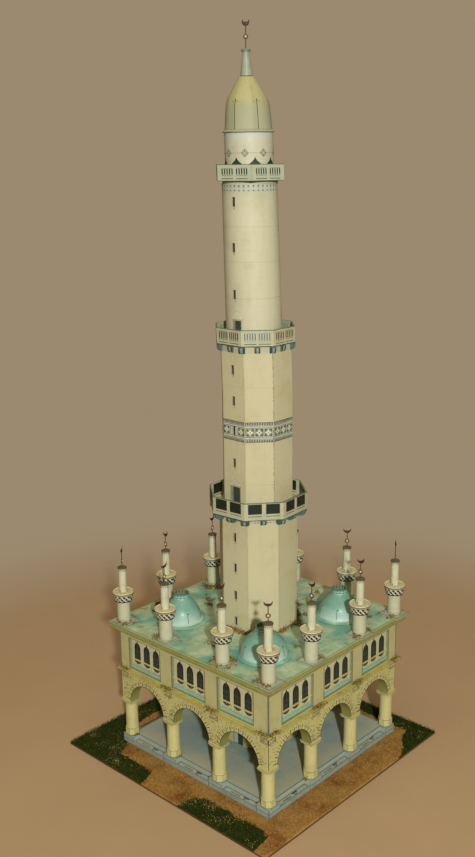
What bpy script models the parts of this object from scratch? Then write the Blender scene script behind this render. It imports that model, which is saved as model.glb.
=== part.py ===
# Card model of a minaret: a tall tower with three balconies and a bulb dome on a square
# pavilion, whose roof carries four bell domes and twelve small turrets.
# Metres, +Z up. The front is the -Y side. The origin is on the board's underside, below the
# tower's axis: the board sticks out a little further at the front and the left.
import math

import bmesh
import bpy

MM = 0.001
GAP = 0.3 * MM  # glue gap between neighbouring pieces
SIDES = ("front", "right", "back", "left")  # facades, a quarter turn apart

# Outlines of a cross-section: number of sides (0 is round) and turn of the first flat
ROUND = (0, 0.0)
SQUARE = (4, 0.0)
OCTAGON = (8, 0.0)
HEXAGON = (6, -math.pi / 12)

# Base board and plinth
BOARD_HALF = 77.2 * MM
BOARD_MIDDLE = (-2.3 * MM, -3.9 * MM)
BOARD_TOP = 1.5 * MM
WALL_PLANE = 56.6 * MM  # outer face of the pavilion's walls, from the axis
STEP_TOP = 4.2 * MM
FLOOR_TOP = 6.9 * MM
FLOOR_EDGE = 52.6 * MM  # floor slab between the pedestals
PEDESTAL_HALF = 5.0 * MM

# Columns and arcade
COLUMN_OUTER = 52.9 * MM  # column rows, from the axis
COLUMN_INNER = 17.85 * MM
COLUMN_RADIUS = 3.45 * MM
SLEEVE_APOTHEM = 3.65 * MM
SLEEVE_HEIGHT = 4.2 * MM
IMPOST_HALF = 4.1 * MM
IMPOST_THICK = 1.0 * MM
SPRING_LINE = 29.3 * MM
ARCH_RADIUS = 13.8 * MM
BAY_PITCH = 35.7 * MM
ARCADE_DEPTH = 6.4 * MM
ARCADE_TOP = 48.4 * MM
CORE_APOTHEM = 21.6 * MM

# Upper storey and roof
LEDGE_HALF = 58.0 * MM
LEDGE_TOP = 50.2 * MM
UPPER_WALL = 2.4 * MM
UPPER_TOP = 74.3 * MM
RECESS_DEPTH = 1.6 * MM
RECESS_HALF = 12.6 * MM
RECESS_PITCH = 34.7 * MM
RECESS_FOOT = 51.4 * MM
RECESS_HEAD = 70.4 * MM
CORNICE_HALF = 60.2 * MM
CORNICE_TOP = 76.3 * MM
ROOF_HALF = 61.0 * MM
ROOF_TOP = 78.0 * MM

# Domes and turrets on the roof
DOME_PLACE = 32.5 * MM
TURRET_PLACE = 54.4 * MM
TURRET_INNER = 18.4 * MM
CARD_MIDDLE = 5.4 * MM  # half of a turret's base card
CARD_CORNER = 6.2 * MM

# Tower, bottom to top; its axis leans away from the upright above LEAN_FOOT
LEAN_FOOT = 212.0 * MM
LEAN = (-0.0180, -0.0166)  # sideways for each unit of height
LOWER_APOTHEM = 20.1 * MM
MIDDLE_APOTHEM = 18.7 * MM
UPPER_RADIUS = 14.6 * MM
CORBELS = 16


class Balcony:
    # Measures of one balcony: corbel foot, floor slab, parapet top, and half its width
    def __init__(self, foot, slab, top, apothem, hub):
        self.foot = foot * MM
        self.slab = slab * MM
        self.top = top * MM
        self.apothem = apothem * MM
        self.hub = hub
        self.board = 0.75 * MM  # parapet board
        self.floor = self.slab + 1.2 * MM


LOW_BALCONY = Balcony(142.4, 146.2, 156.0, 25.0, LOWER_APOTHEM)
MIDDLE_BALCONY = Balcony(235.3, 239.2, 247.8, 20.7, MIDDLE_APOTHEM)
TOP_BALCONY = Balcony(320.8, 322.2, 330.4, 16.9, UPPER_RADIUS)
DRUM_RADIUS = 12.5 * MM
DRUM_TOP = 345.6 * MM
BULB_TOP = 372.8 * MM
SPIRE_TOP = 384.7 * MM
DISC_TOP = 385.8 * MM
OVERALL = 400.0 * MM


def clear_scene():
    for old in list(bpy.data.objects):
        bpy.data.objects.remove(old, do_unlink=True)


def finish(name, colour, roughness, metallic=0.0):
    made = bpy.data.materials.new(name)
    made.use_nodes = True
    shader = made.node_tree.nodes["Principled BSDF"]
    shader.inputs["Base Color"].default_value = (*colour, 1.0)
    shader.inputs["Roughness"].default_value = roughness
    shader.inputs["Metallic"].default_value = metallic
    made.diffuse_color = (*colour, 1.0)
    return made


def add_object(name, shape, surface):
    bmesh.ops.recalc_face_normals(shape, faces=shape.faces)
    if shape.calc_volume(signed=True) < 0:  # a thin plate can come out facing in
        bmesh.ops.reverse_faces(shape, faces=shape.faces)
    mesh = bpy.data.meshes.new(name)
    shape.to_mesh(mesh)
    shape.free()
    mesh.materials.append(surface)
    made = bpy.data.objects.new(name, mesh)
    bpy.context.collection.objects.link(made)
    return made


def reach(angle, outline, apothem):
    # Distance from the axis to a regular outline whose flats lie at the apothem
    count, turn = outline
    if not count:
        return apothem
    step = 2 * math.pi / count
    off = (angle - turn + step / 2) % step - step / 2
    return apothem / math.cos(off)


def axis_at(height):
    # Place of the tower's axis
    rise = max(0.0, height - LEAN_FOOT)
    return LEAN[0] * rise, LEAN[1] * rise


def loft(name, sections, surface, steps=16, place=None):
    # Solid through level loops, each given as (height, apothem, outline), capped at both ends,
    # round one place or else along the tower's axis
    shape = bmesh.new()
    loops = []
    for height, apothem, outline in sections:
        loop = []
        middle = place or axis_at(height)
        for k in range(steps):
            angle = 2 * math.pi * k / steps
            away = reach(angle, outline, apothem)
            x = middle[0] + away * math.cos(angle)
            y = middle[1] + away * math.sin(angle)
            loop.append(shape.verts.new((x, y, height)))
        loops.append(loop)
    for low, high in zip(loops, loops[1:]):
        for k in range(steps):
            n = (k + 1) % steps
            shape.faces.new((low[k], low[n], high[n], high[k]))
    shape.faces.new(reversed(loops[0]))
    shape.faces.new(loops[-1])
    return add_object(name, shape, surface)


def slab(name, outline, bottom, top, surface):
    # Flat plate over an outline of (x, y) points
    shape = bmesh.new()
    face = shape.faces.new([shape.verts.new((x, y, bottom)) for x, y in outline])
    grown = bmesh.ops.extrude_face_region(shape, geom=[face])
    lifted = [v for v in grown["geom"] if isinstance(v, bmesh.types.BMVert)]
    bmesh.ops.translate(shape, verts=lifted, vec=(0, 0, top - bottom))
    return add_object(name, shape, surface)


def square(half, middle=(0.0, 0.0)):
    corners = ((-half, -half), (half, -half), (half, half), (-half, half))
    return [(middle[0] + x, middle[1] + y) for x, y in corners]


def on_side(index, along, out):
    # Point of a facade: along it to the right, and out from the axis
    angle = index * math.pi / 2
    c, s = math.cos(angle), math.sin(angle)
    return (along * c + out * s, along * s - out * c)


def facade_wall(name, index, foot, top, depth, surface):
    # Wall above a foot line of (along, height) points, in upright strips, its ends mitred
    shape = bmesh.new()
    rows = []
    for along, height in foot:
        row = []
        for back in (0.0, depth):
            inset = back + 0.75 * GAP if along in (foot[0][0], foot[-1][0]) else 0.0
            x, y = on_side(index, along - math.copysign(inset, along), WALL_PLANE - back)
            row += [shape.verts.new((x, y, height)), shape.verts.new((x, y, top))]
        rows.append((row[0], row[1], row[3], row[2]))
    for left, right in zip(rows, rows[1:]):
        for k in range(4):
            n = (k + 1) % 4
            shape.faces.new((left[k], right[k], right[n], left[n]))
    shape.faces.new(rows[0])
    shape.faces.new(reversed(rows[-1]))
    return add_object(name, shape, surface)


def hide_helper(helper):
    helper.hide_render = True
    helper.display_type = "WIRE"


def combine(target, helper, operation):
    change = target.modifiers.new(operation.title(), "BOOLEAN")
    change.operation = operation
    change.solver = "EXACT"
    change.object = helper
    hide_helper(helper)


def add_box(shape, low, high):
    made = bmesh.ops.create_cube(shape, size=1.0)["verts"]
    size = [h - l for l, h in zip(low, high)]
    middle = [(h + l) / 2 for l, h in zip(low, high)]
    bmesh.ops.scale(shape, vec=size, verts=made)
    bmesh.ops.translate(shape, vec=middle, verts=made)


def column_places():
    # Three columns to a side, from its left corner; the next side has the right corner's
    for index, side in enumerate(SIDES):
        for number, along in enumerate((-COLUMN_OUTER, -COLUMN_INNER, COLUMN_INNER), start=1):
            yield f"{side}_{number}", on_side(index, along, COLUMN_OUTER)


def build_board(surface):
    slab("base_board", square(BOARD_HALF, BOARD_MIDDLE), 0.0, BOARD_TOP, surface)


def build_plinth(surface):
    slab("plinth_step", square(WALL_PLANE), BOARD_TOP + GAP, STEP_TOP, surface)
    outline = []
    for index in range(4):
        corner = COLUMN_OUTER - PEDESTAL_HALF
        for middle in (-COLUMN_INNER, COLUMN_INNER):
            if middle < 0:
                outline.append(on_side(index, -WALL_PLANE, WALL_PLANE))
                outline.append(on_side(index, -corner, WALL_PLANE))
                outline.append(on_side(index, -corner, FLOOR_EDGE))
            outline.append(on_side(index, middle - PEDESTAL_HALF, FLOOR_EDGE))
            outline.append(on_side(index, middle - PEDESTAL_HALF, WALL_PLANE))
            outline.append(on_side(index, middle + PEDESTAL_HALF, WALL_PLANE))
            outline.append(on_side(index, middle + PEDESTAL_HALF, FLOOR_EDGE))
        outline.append(on_side(index, corner, FLOOR_EDGE))
        outline.append(on_side(index, corner, WALL_PLANE))
    slab("plinth_floor", outline, STEP_TOP + GAP, FLOOR_TOP, surface)


def build_columns(surface):
    foot = FLOOR_TOP + GAP
    plate = SPRING_LINE - GAP - IMPOST_THICK
    for name, place in column_places():
        loft(f"column_{name}", [
            (foot, SLEEVE_APOTHEM, OCTAGON),
            (foot + SLEEVE_HEIGHT, SLEEVE_APOTHEM, OCTAGON),
            (foot + SLEEVE_HEIGHT, COLUMN_RADIUS, ROUND),
            (plate, COLUMN_RADIUS, ROUND),
            (plate, IMPOST_HALF, SQUARE),
            (plate + IMPOST_THICK, IMPOST_HALF, SQUARE),
        ], surface, place=place)


def arch(middle, steps=16):
    # Half circle from left foot to right foot
    return [(middle - ARCH_RADIUS * math.cos(math.pi * k / steps),
             SPRING_LINE + ARCH_RADIUS * math.sin(math.pi * k / steps))
            for k in range(steps + 1)]


def build_arcade(surface):
    foot = [(-WALL_PLANE, SPRING_LINE)]
    for middle in (-BAY_PITCH, 0.0, BAY_PITCH):
        foot += arch(middle)
    foot.append((WALL_PLANE, SPRING_LINE))
    for index, side in enumerate(SIDES):
        facade_wall(f"arcade_{side}", index, foot, ARCADE_TOP, ARCADE_DEPTH, surface)


def build_upper_storey(surface):
    cutters = bmesh.new()
    for index in range(4):
        for middle in (-RECESS_PITCH, 0.0, RECESS_PITCH):
            a = on_side(index, middle - RECESS_HALF, WALL_PLANE - RECESS_DEPTH)
            b = on_side(index, middle + RECESS_HALF, WALL_PLANE + 2 * MM)
            add_box(cutters,
                    (min(a[0], b[0]), min(a[1], b[1]), RECESS_FOOT),
                    (max(a[0], b[0]), max(a[1], b[1]), RECESS_HEAD))
    recesses = add_object("recess_cutter", cutters, surface)
    foot = [(-WALL_PLANE, LEDGE_TOP + GAP), (WALL_PLANE, LEDGE_TOP + GAP)]
    for index, side in enumerate(SIDES):
        wall = facade_wall(f"upper_wall_{side}", index, foot, UPPER_TOP, UPPER_WALL, surface)
        combine(wall, recesses, "DIFFERENCE")


def build_domes(surface):
    foot = ROOF_TOP + GAP
    corners = (("front_left", -1, -1), ("front_right", 1, -1), ("back_right", 1, 1), ("back_left", -1, 1))
    for name, x, y in corners:
        loft(f"dome_{name}", [
            (foot, 13.8 * MM, ROUND),
            (foot + 0.6 * MM, 13.8 * MM, ROUND),
            (foot + 0.6 * MM, 12.1 * MM, ROUND),
            (80.5 * MM, 12.0 * MM, ROUND),
            (83.1 * MM, 11.4 * MM, ROUND),
            (85.6 * MM, 10.2 * MM, ROUND),
            (88.0 * MM, 8.6 * MM, ROUND),
            (90.4 * MM, 6.5 * MM, ROUND),
            (92.0 * MM, 4.5 * MM, ROUND),
            (94.9 * MM, 4.4 * MM, ROUND),
            (94.9 * MM, 3.8 * MM, ROUND),
            (92.5 * MM, 3.8 * MM, ROUND),
        ], surface, steps=24, place=(x * DOME_PLACE, y * DOME_PLACE))


def finial_outline(foot, ring, ring_radius, hole, crescent, radius, horns, thick, wire):
    # Right half of a flat finial as (across, height) points: up the wire, round the ring and the
    # outside of the crescent to its horn, back along the inside, and down past the ring's hole
    points = [(0.0, foot), (wire, foot)]
    lift = math.asin(wire / ring_radius)
    for k in range(9):
        angle = -math.pi / 2 + lift + (math.pi - 2 * lift) * k / 8
        points.append((ring_radius * math.cos(angle), ring + ring_radius * math.sin(angle)))
    start = -math.pi / 2 + math.asin(wire / radius)
    for k in range(8):
        angle = start + (horns - start) * k / 7
        points.append((radius * math.cos(angle), crescent + radius * math.sin(angle)))
    across, tip = points[-1]
    inside = crescent - radius + thick
    middle = (across ** 2 + tip ** 2 - inside ** 2) / (2 * (tip - inside))
    swing = math.atan2(across, middle - tip)
    for k in range(1, 7):
        angle = swing * (1 - k / 6)
        points.append(((middle - inside) * math.sin(angle), middle - (middle - inside) * math.cos(angle)))
    for k in range(7):
        angle = math.pi / 2 - math.pi * k / 6
        points.append((hole * math.cos(angle), ring + hole * math.sin(angle)))
    return points


def add_finial(name, outline, thick, turn, surface, place):
    # Flat plate of both halves of the outline, which share the points on the axis
    shape = bmesh.new()
    c, s = math.cos(turn), math.sin(turn)
    for mirror in (1, -1):
        loop = [shape.verts.new((mirror * max(x, 0.0), -thick / 2, z)) for x, z in outline]
        shape.faces.new(loop[::mirror])
    bmesh.ops.remove_doubles(shape, verts=shape.verts, dist=0.001 * MM)
    grown = bmesh.ops.extrude_face_region(shape, geom=list(shape.faces))
    moved = [v for v in grown["geom"] if isinstance(v, bmesh.types.BMVert)]
    bmesh.ops.translate(shape, verts=moved, vec=(0, thick, 0))
    bmesh.ops.triangulate(shape, faces=shape.faces, quad_method="BEAUTY", ngon_method="EAR_CLIP")
    for v in shape.verts:
        x, y = v.co.x, v.co.y
        v.co.x = place[0] + x * c - y * s
        v.co.y = place[1] + x * s + y * c
    return add_object(name, shape, surface)


def build_turrets(surface, wire_surface):
    foot = ROOF_TOP + GAP
    cap = 111.5 * MM
    outline = finial_outline(cap - 0.4 * MM, 115.1 * MM, 1.35 * MM, 0.75 * MM,
                             122.3 * MM, 2.3 * MM, math.radians(12), 1.2 * MM, 0.3 * MM)
    for index, side in enumerate(SIDES):
        for number, along in enumerate((-TURRET_PLACE, -TURRET_INNER, TURRET_INNER), start=1):
            place = on_side(index, along, TURRET_PLACE)
            card = CARD_CORNER if number == 1 else CARD_MIDDLE
            turret = loft(f"turret_{side}_{number}", [
                (foot, card, SQUARE),
                (foot + 0.6 * MM, card, SQUARE),
                (foot + 0.6 * MM, 3.75 * MM, ROUND),
                (90.0 * MM, 3.7 * MM, ROUND),
                (90.0 * MM, 4.8 * MM, ROUND),
                (95.8 * MM, 6.0 * MM, ROUND),
                (96.8 * MM, 6.0 * MM, ROUND),
                (96.8 * MM, 5.5 * MM, ROUND),
                (96.0 * MM, 5.4 * MM, ROUND),
                (96.0 * MM, 2.25 * MM, ROUND),
                (110.6 * MM, 2.2 * MM, ROUND),
                (110.6 * MM, 2.6 * MM, ROUND),
                (cap, 2.5 * MM, ROUND),
            ], surface, place=place)
            turn = math.radians(37 * (3 * index + number))  # each crescent faces its own way
            finial = add_finial(f"finial_{side}_{number}", outline, 0.6 * MM, turn, wire_surface, place)
            combine(turret, finial, "UNION")


def corbels(balcony):
    # Quarter-round brackets from the hub out to the edge of the balcony
    shape = bmesh.new()
    middle = axis_at(balcony.slab)
    half = 1.25 * MM
    top = balcony.slab + 0.3 * MM
    for k in range(CORBELS):
        angle = 2 * math.pi * k / CORBELS
        inner = reach(angle, OCTAGON, balcony.hub) - 0.5 * MM
        outer = reach(angle, OCTAGON, balcony.apothem) - 0.5 * MM
        curve = [(inner, top), (outer, top), (outer, balcony.slab - 0.9 * MM)]
        drop = balcony.slab - 0.9 * MM - balcony.foot
        for n in range(1, 5):
            swing = math.pi / 2 * n / 4
            curve.append((inner + (outer - inner) * math.cos(swing),
                          balcony.foot + drop * (1 - math.sin(swing))))
        c, s = math.cos(angle), math.sin(angle)
        loops = []
        for w in (-half, half):
            across = (middle[0] - w * s, middle[1] + w * c)
            loops.append([shape.verts.new((across[0] + r * c, across[1] + r * s, z)) for r, z in curve])
        shape.faces.new(loops[0])
        shape.faces.new(reversed(loops[1]))
        count = len(curve)
        for n in range(count):
            m = (n + 1) % count
            shape.faces.new((loops[0][n], loops[0][m], loops[1][m], loops[1][n]))
    return shape


def build_balcony(name, balcony, outline, hub_outline, surface):
    inner = balcony.apothem - balcony.board
    return loft(name, [
        (balcony.foot, balcony.hub, hub_outline),
        (balcony.slab, balcony.hub, hub_outline),
        (balcony.slab, balcony.apothem, outline),
        (balcony.top, balcony.apothem, outline),
        (balcony.top, inner, outline),
        (balcony.floor, inner, outline),
    ], surface, steps=24 if hub_outline == ROUND else 16)


def build_tower(surface, corbel_surface):
    loft("tower_core", [
        (FLOOR_TOP + GAP, CORE_APOTHEM, OCTAGON),
        (ARCADE_TOP, CORE_APOTHEM, OCTAGON),
    ], surface)
    loft("lower_shaft", [
        (ROOF_TOP + GAP, LOWER_APOTHEM, OCTAGON),
        (LOW_BALCONY.foot - GAP, LOWER_APOTHEM, OCTAGON),
    ], surface)
    loft("middle_shaft", [
        (LOW_BALCONY.floor + GAP, MIDDLE_APOTHEM, OCTAGON),
        (MIDDLE_BALCONY.foot - GAP, MIDDLE_APOTHEM, OCTAGON),
    ], surface)
    loft("upper_shaft", [
        (MIDDLE_BALCONY.floor + GAP, UPPER_RADIUS, ROUND),
        (TOP_BALCONY.foot - GAP, UPPER_RADIUS - 0.3 * MM, ROUND),
    ], surface, steps=32)
    for name, balcony in (("balcony_low", LOW_BALCONY), ("balcony_middle", MIDDLE_BALCONY)):
        made = build_balcony(name, balcony, OCTAGON, OCTAGON, surface)
        brackets = add_object(f"{name}_corbels", corbels(balcony), corbel_surface)
        combine(made, brackets, "UNION")
    build_balcony("balcony_top", TOP_BALCONY, HEXAGON, ROUND, surface)
    loft("drum", [
        (TOP_BALCONY.floor + GAP, DRUM_RADIUS, ROUND),
        (DRUM_TOP, DRUM_RADIUS, ROUND),
    ], surface, steps=32)


def build_crown(bulb_surface, spire_surface, wire_surface):
    foot = DRUM_TOP + GAP
    loft("bulb_dome", [
        (foot, 13.4 * MM, ROUND),
        (foot + 0.8 * MM, 13.3 * MM, ROUND),
        (foot + 1.2 * MM, 12.1 * MM, ROUND),
        (353.5 * MM, 11.6 * MM, ROUND),
        (358.5 * MM, 11.1 * MM, ROUND),
        (361.5 * MM, 10.5 * MM, ROUND),
        (364.5 * MM, 8.9 * MM, ROUND),
        (BULB_TOP, 4.0 * MM, ROUND),
    ], bulb_surface, steps=32)
    loft("spire", [
        (BULB_TOP + GAP, 3.2 * MM, ROUND),
        (SPIRE_TOP, 1.7 * MM, ROUND),
        (SPIRE_TOP, 2.5 * MM, ROUND),
        (DISC_TOP, 2.4 * MM, ROUND),
    ], spire_surface)
    outline = finial_outline(DISC_TOP + GAP, 391.7 * MM, 1.25 * MM, 0.7 * MM,
                             398.5 * MM, 1.9 * MM, math.radians(52), 0.9 * MM, 0.3 * MM)
    top = max(height for across, height in outline)
    raised = [(across, height + OVERALL - top if height > 395 * MM else height) for across, height in outline]
    add_finial("main_finial", raised, 0.6 * MM, math.radians(43), wire_surface, axis_at(DISC_TOP))


def main():
    clear_scene()
    cream = finish("printed_cream_card", (0.66, 0.58, 0.33), 0.6)
    yellow = finish("printed_yellow_card", (0.60, 0.52, 0.22), 0.6)
    green = finish("printed_green_card", (0.20, 0.36, 0.26), 0.55)
    turquoise = finish("glossy_turquoise_card", (0.24, 0.48, 0.38), 0.25)
    blue = finish("printed_blue_grey_card", (0.22, 0.28, 0.28), 0.6)
    teal = finish("printed_teal_card", (0.12, 0.24, 0.24), 0.5)
    lime = finish("glossy_green_yellow_card", (0.42, 0.42, 0.18), 0.25)
    grey = finish("painted_grey_card", (0.42, 0.46, 0.36), 0.5)
    flock = finish("flocked_board", (0.05, 0.07, 0.02), 0.95)
    wire = finish("painted_wire", (0.16, 0.05, 0.02), 0.5, 0.4)
    build_board(flock)
    build_plinth(blue)
    build_columns(yellow)
    build_arcade(cream)
    slab("gallery_slab", square(LEDGE_HALF), ARCADE_TOP + GAP, LEDGE_TOP, yellow)
    build_upper_storey(cream)
    slab("cornice", square(CORNICE_HALF), UPPER_TOP + GAP, CORNICE_TOP, yellow)
    slab("roof", square(ROOF_HALF), CORNICE_TOP + GAP, ROOF_TOP, green)
    build_domes(turquoise)
    build_turrets(cream, wire)
    build_tower(cream, teal)
    build_crown(lime, grey, wire)


main()
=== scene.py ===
import math

import bpy
import numpy as np
from mathutils import Matrix, Vector


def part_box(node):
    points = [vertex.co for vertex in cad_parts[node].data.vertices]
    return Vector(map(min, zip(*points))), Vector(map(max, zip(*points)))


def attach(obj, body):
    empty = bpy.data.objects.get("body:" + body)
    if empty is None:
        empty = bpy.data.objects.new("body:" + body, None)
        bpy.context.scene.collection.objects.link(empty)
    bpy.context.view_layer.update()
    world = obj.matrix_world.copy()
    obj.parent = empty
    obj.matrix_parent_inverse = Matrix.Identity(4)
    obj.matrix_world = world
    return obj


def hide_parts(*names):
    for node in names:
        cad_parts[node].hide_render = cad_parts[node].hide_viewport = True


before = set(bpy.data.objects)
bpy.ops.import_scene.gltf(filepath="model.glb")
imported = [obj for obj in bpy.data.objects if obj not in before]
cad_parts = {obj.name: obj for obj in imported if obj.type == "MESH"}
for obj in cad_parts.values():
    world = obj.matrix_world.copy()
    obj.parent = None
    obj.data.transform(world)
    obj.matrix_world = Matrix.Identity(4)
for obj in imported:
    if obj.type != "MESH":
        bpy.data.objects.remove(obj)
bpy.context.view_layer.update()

mm = 0.001
tau = 2 * math.pi
sides = ("front", "right", "back", "left")

# The tower's axis leans a little to the left above its foot height
lean = {"foot": 212.0, "x": -0.0180, "y": -0.0166}


def spanOf(node):
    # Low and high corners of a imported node, in millimetres
    low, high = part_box(node)
    return np.array(low) / mm, np.array(high) / mm


def towerAxis(height):
    # Sideways place of the axis: nothing up to the foot, then in proportion to the rise above it
    rise = np.maximum(0.0, np.asarray(height, float) - lean["foot"])
    return lean["x"] * rise, lean["y"] * rise


# Surfaces worked out on grids, all in millimetres

def gridPart(points, around=False, caps=False, closed=False, uv=None, finish=0):
    # Quads between neighbouring rows and columns; with around the last column meets the first,
    # and with closed the last row meets the first
    rows, columns = points.shape[:2]
    r, c = np.meshgrid(np.arange(rows - (not closed)), np.arange(columns - (not around)), indexing="ij")
    up, right = (r + 1) % rows, (c + 1) % columns
    quads = np.stack([r * columns + c, r * columns + right, up * columns + right, up * columns + c], -1)
    faces = [quads.reshape(-1, 4)]
    if uv is None:
        maps = [np.zeros((faces[0].shape[0], 4, 2))]
    else:
        maps = [np.stack([uv[r, c], uv[r, c + 1], uv[r + 1, c + 1], uv[r + 1, c]], -2).reshape(-1, 4, 2)]
    kinds = [np.broadcast_to(finish, r.shape).ravel()]
    if caps:
        ends = np.arange(columns)
        faces += [ends[None, ::-1], ends[None] + (rows - 1) * columns]
        maps += [np.zeros((1, columns, 2))] * 2
        kinds += [kinds[0][:1], kinds[0][-1:]]
    return {"points": points.reshape(-1, 3), "faces": faces, "uv": maps, "finish": kinds}


def roundOutline(steps):
    # Circle of radius 1, and the way walked along it
    angle = np.arange(steps + 1) * tau / steps
    return {"points": np.stack([np.cos(angle), np.sin(angle)], -1)[:-1], "along": angle}


def foldedOutline(count, turn, rounding=0.02, steps=4):
    # Regular outline whose flats lie at distance 1, the first of them facing the turn, with a small
    # arc at each fold; the way along it starts at the middle of the first fold
    half = math.pi / count
    corner = turn + half + np.arange(count) * 2 * half
    angle = corner[:, None] + np.linspace(-half, half, steps + 1)[None]
    middle = (1 - rounding) / math.cos(half)
    x = middle * np.cos(corner)[:, None] + rounding * np.cos(angle)
    y = middle * np.sin(corner)[:, None] + rounding * np.sin(angle)
    points = np.stack([x, y], -1).reshape(-1, 2)
    gaps = np.linalg.norm(np.roll(points, -1, 0) - points, axis=1)
    along = np.concatenate([[0.0], np.cumsum(gaps)]) - gaps[:steps // 2].sum()
    return {"points": points, "along": along}


octagon = foldedOutline(8, 0.0)
hexagon = foldedOutline(6, -math.pi / 12)
square = foldedOutline(4, 0.0, 0.012)


def lofted(outline, profile, middle=(0.0, 0.0), finish=0, closed=False):
    # Radius and height pairs carried round an outline: each point is the axis there plus the
    # radius times the outline; closed makes a ring of the profile, else both ends are capped
    radius, height = np.array(profile, float).T
    shiftX, shiftY = towerAxis(height)
    x = middle[0] + shiftX[:, None] + radius[:, None] * outline["points"][None, :, 0]
    y = middle[1] + shiftY[:, None] + radius[:, None] * outline["points"][None, :, 1]
    points = np.stack([x, y, np.broadcast_to(height[:, None], x.shape)], -1)
    rows = np.append(height, height[0]) if closed else height
    uv = np.stack(np.broadcast_arrays(outline["along"][None] * radius.max(), rows[:, None]), -1)
    kinds = np.broadcast_to(finish, len(rows) - 1)[:, None]
    return gridPart(points, around=True, caps=not closed, closed=closed, uv=uv, finish=kinds)


def hoop(outline, radius, low, high, proud=0.08, sunk=0.3, middle=(0.0, 0.0), finish=0):
    # Flat band round an outline, from low to high
    profile = [(radius - sunk, low), (radius + proud, low), (radius + proud, high), (radius - sunk, high)]
    return lofted(outline, profile, middle, finish, closed=True)


def hoopSets(outline, rows, middle=(0.0, 0.0)):
    # One band for each row of a table: its radius, low, high, how proud it is, and its finish
    return [hoop(outline, *row[:4], middle=middle, finish=row[4]) for row in rows]


# Places on the model: each takes how far along, how high and how proud, and gives the points

def flatFace(angle, out, middle=(0.0, 0.0)):
    # Upright flat that faces the angle, at the distance out from the middle
    c, s = math.cos(angle), math.sin(angle)

    def place(along, height, proud):
        shiftX, shiftY = towerAxis(height)
        x = middle[0] + shiftX + (out + proud) * c - along * s
        y = middle[1] + shiftY + (out + proud) * s + along * c
        return np.stack(np.broadcast_arrays(x, y, height), -1)
    return place


def roundFace(angle, radius, middle=(0.0, 0.0)):
    # Round wall: the way along it turns about the axis; the radius may depend on the height
    def place(along, height, proud):
        shiftX, shiftY = towerAxis(height)
        wall = radius(height) if callable(radius) else radius
        turn = angle + along / wall
        x = middle[0] + shiftX + (wall + proud) * np.cos(turn)
        y = middle[1] + shiftY + (wall + proud) * np.sin(turn)
        return np.stack(np.broadcast_arrays(x, y, height), -1)
    return place


def levelFace(level, angle=0.0, middle=(0.0, 0.0)):
    # Level top: along and across it from the middle, proud is up
    c, s = math.cos(angle), math.sin(angle)

    def place(along, across, proud):
        x = middle[0] + along * c - across * s
        y = middle[1] + along * s + across * c
        return np.stack(np.broadcast_arrays(x, y, level + proud), -1)
    return place


def facade(index, out):
    return flatFace((index - 1) * math.pi / 2, out)


def onSide(index, along, out):
    angle = (index - 1) * math.pi / 2
    c, s = math.cos(angle), math.sin(angle)
    return (out * c - along * s, out * s + along * c)


def plates(place, boxes, proud=0.07, sunk=0.05, steps=1, finish=0):
    # Thin closed plates: each box is left, right, foot and top on the place, cut into steps along it
    boxes = np.array(boxes, float).reshape(-1, 4)
    share = np.linspace(0, 1, steps + 1)
    along = boxes[:, :1] + (boxes[:, 1:2] - boxes[:, :1]) * share[None]
    size = (len(boxes), steps + 1, 4)
    u = np.broadcast_to(along[:, :, None], size)
    v = np.broadcast_to(boxes[:, None, [2, 3, 3, 2]], size)
    w = np.broadcast_to(np.array([-sunk, -sunk, proud, proud]), size)
    one = gridPart(np.zeros((steps + 1, 4, 3)), around=True, caps=True)
    return repeated(one, place(u, v, w).reshape(len(boxes), -1, 3), finish)


def repeated(one, points, finish=0):
    # The faces of one small shape, set on each row of points
    count, size = points.shape[:2]
    start = (np.arange(count) * size)[:, None, None]
    faces = [(part[None] + start).reshape(-1, part.shape[1]) for part in one["faces"]]
    maps = [np.zeros((len(part), part.shape[1], 2)) for part in faces]
    kinds = [np.full(len(part), finish) for part in faces]
    return {"points": points.reshape(-1, 3), "faces": faces, "uv": maps, "finish": kinds}


def plateSets(place, rows):
    # One part for each row of a table: its boxes, how proud they are, and their finish
    return [plates(place, boxes, proud, finish=finish) for boxes, proud, finish in rows]


def cutPlates(place, outlines, proud=0.07, sunk=0.05, finish=0):
    # Thin closed plates with the given outlines, each a loop of along and height points that runs
    # anticlockwise; their backs lie just under the surface
    outlines = np.asarray(outlines, float)
    count, corners = outlines.shape[:2]
    u = np.repeat(outlines[:, None, :, 0], 2, 1)
    v = np.repeat(outlines[:, None, :, 1], 2, 1)
    w = np.broadcast_to(np.array([-sunk, proud])[None, :, None], u.shape)
    one = gridPart(np.zeros((2, corners, 3)), around=True, caps=True)
    return repeated(one, place(u, v, w).reshape(count, -1, 3), finish)


def ribbon(place, inner, outer, proud=0.07, sunk=0.05, finish=0):
    # Band between two lines of along and height points, with the outer line on the left of the way
    inner, outer = np.asarray(inner, float), np.asarray(outer, float)
    u = np.stack([inner[:, 0], outer[:, 0], outer[:, 0], inner[:, 0]], -1)
    v = np.stack([inner[:, 1], outer[:, 1], outer[:, 1], inner[:, 1]], -1)
    w = np.broadcast_to(np.array([-sunk, -sunk, proud, proud]), u.shape)
    return gridPart(place(u, v, w), around=True, caps=True, finish=finish)


def wrapped(place, way, low, high, proud=0.07, finish=0):
    # Shape on a round wall, cut into upright strips: at each place along the way, from low to high
    low, high = np.broadcast_to(low, way.shape), np.broadcast_to(high, way.shape)
    return ribbon(place, np.stack([way, low], -1), np.stack([way, high], -1), proud, finish=finish)


def frameLines(box, width):
    # The four thin lines round a box
    left, right, foot, top = box
    return [(left, right, foot, foot + width), (left, right, top - width, top),
            (left, left + width, foot, top), (right - width, right, foot, top)]


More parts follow.
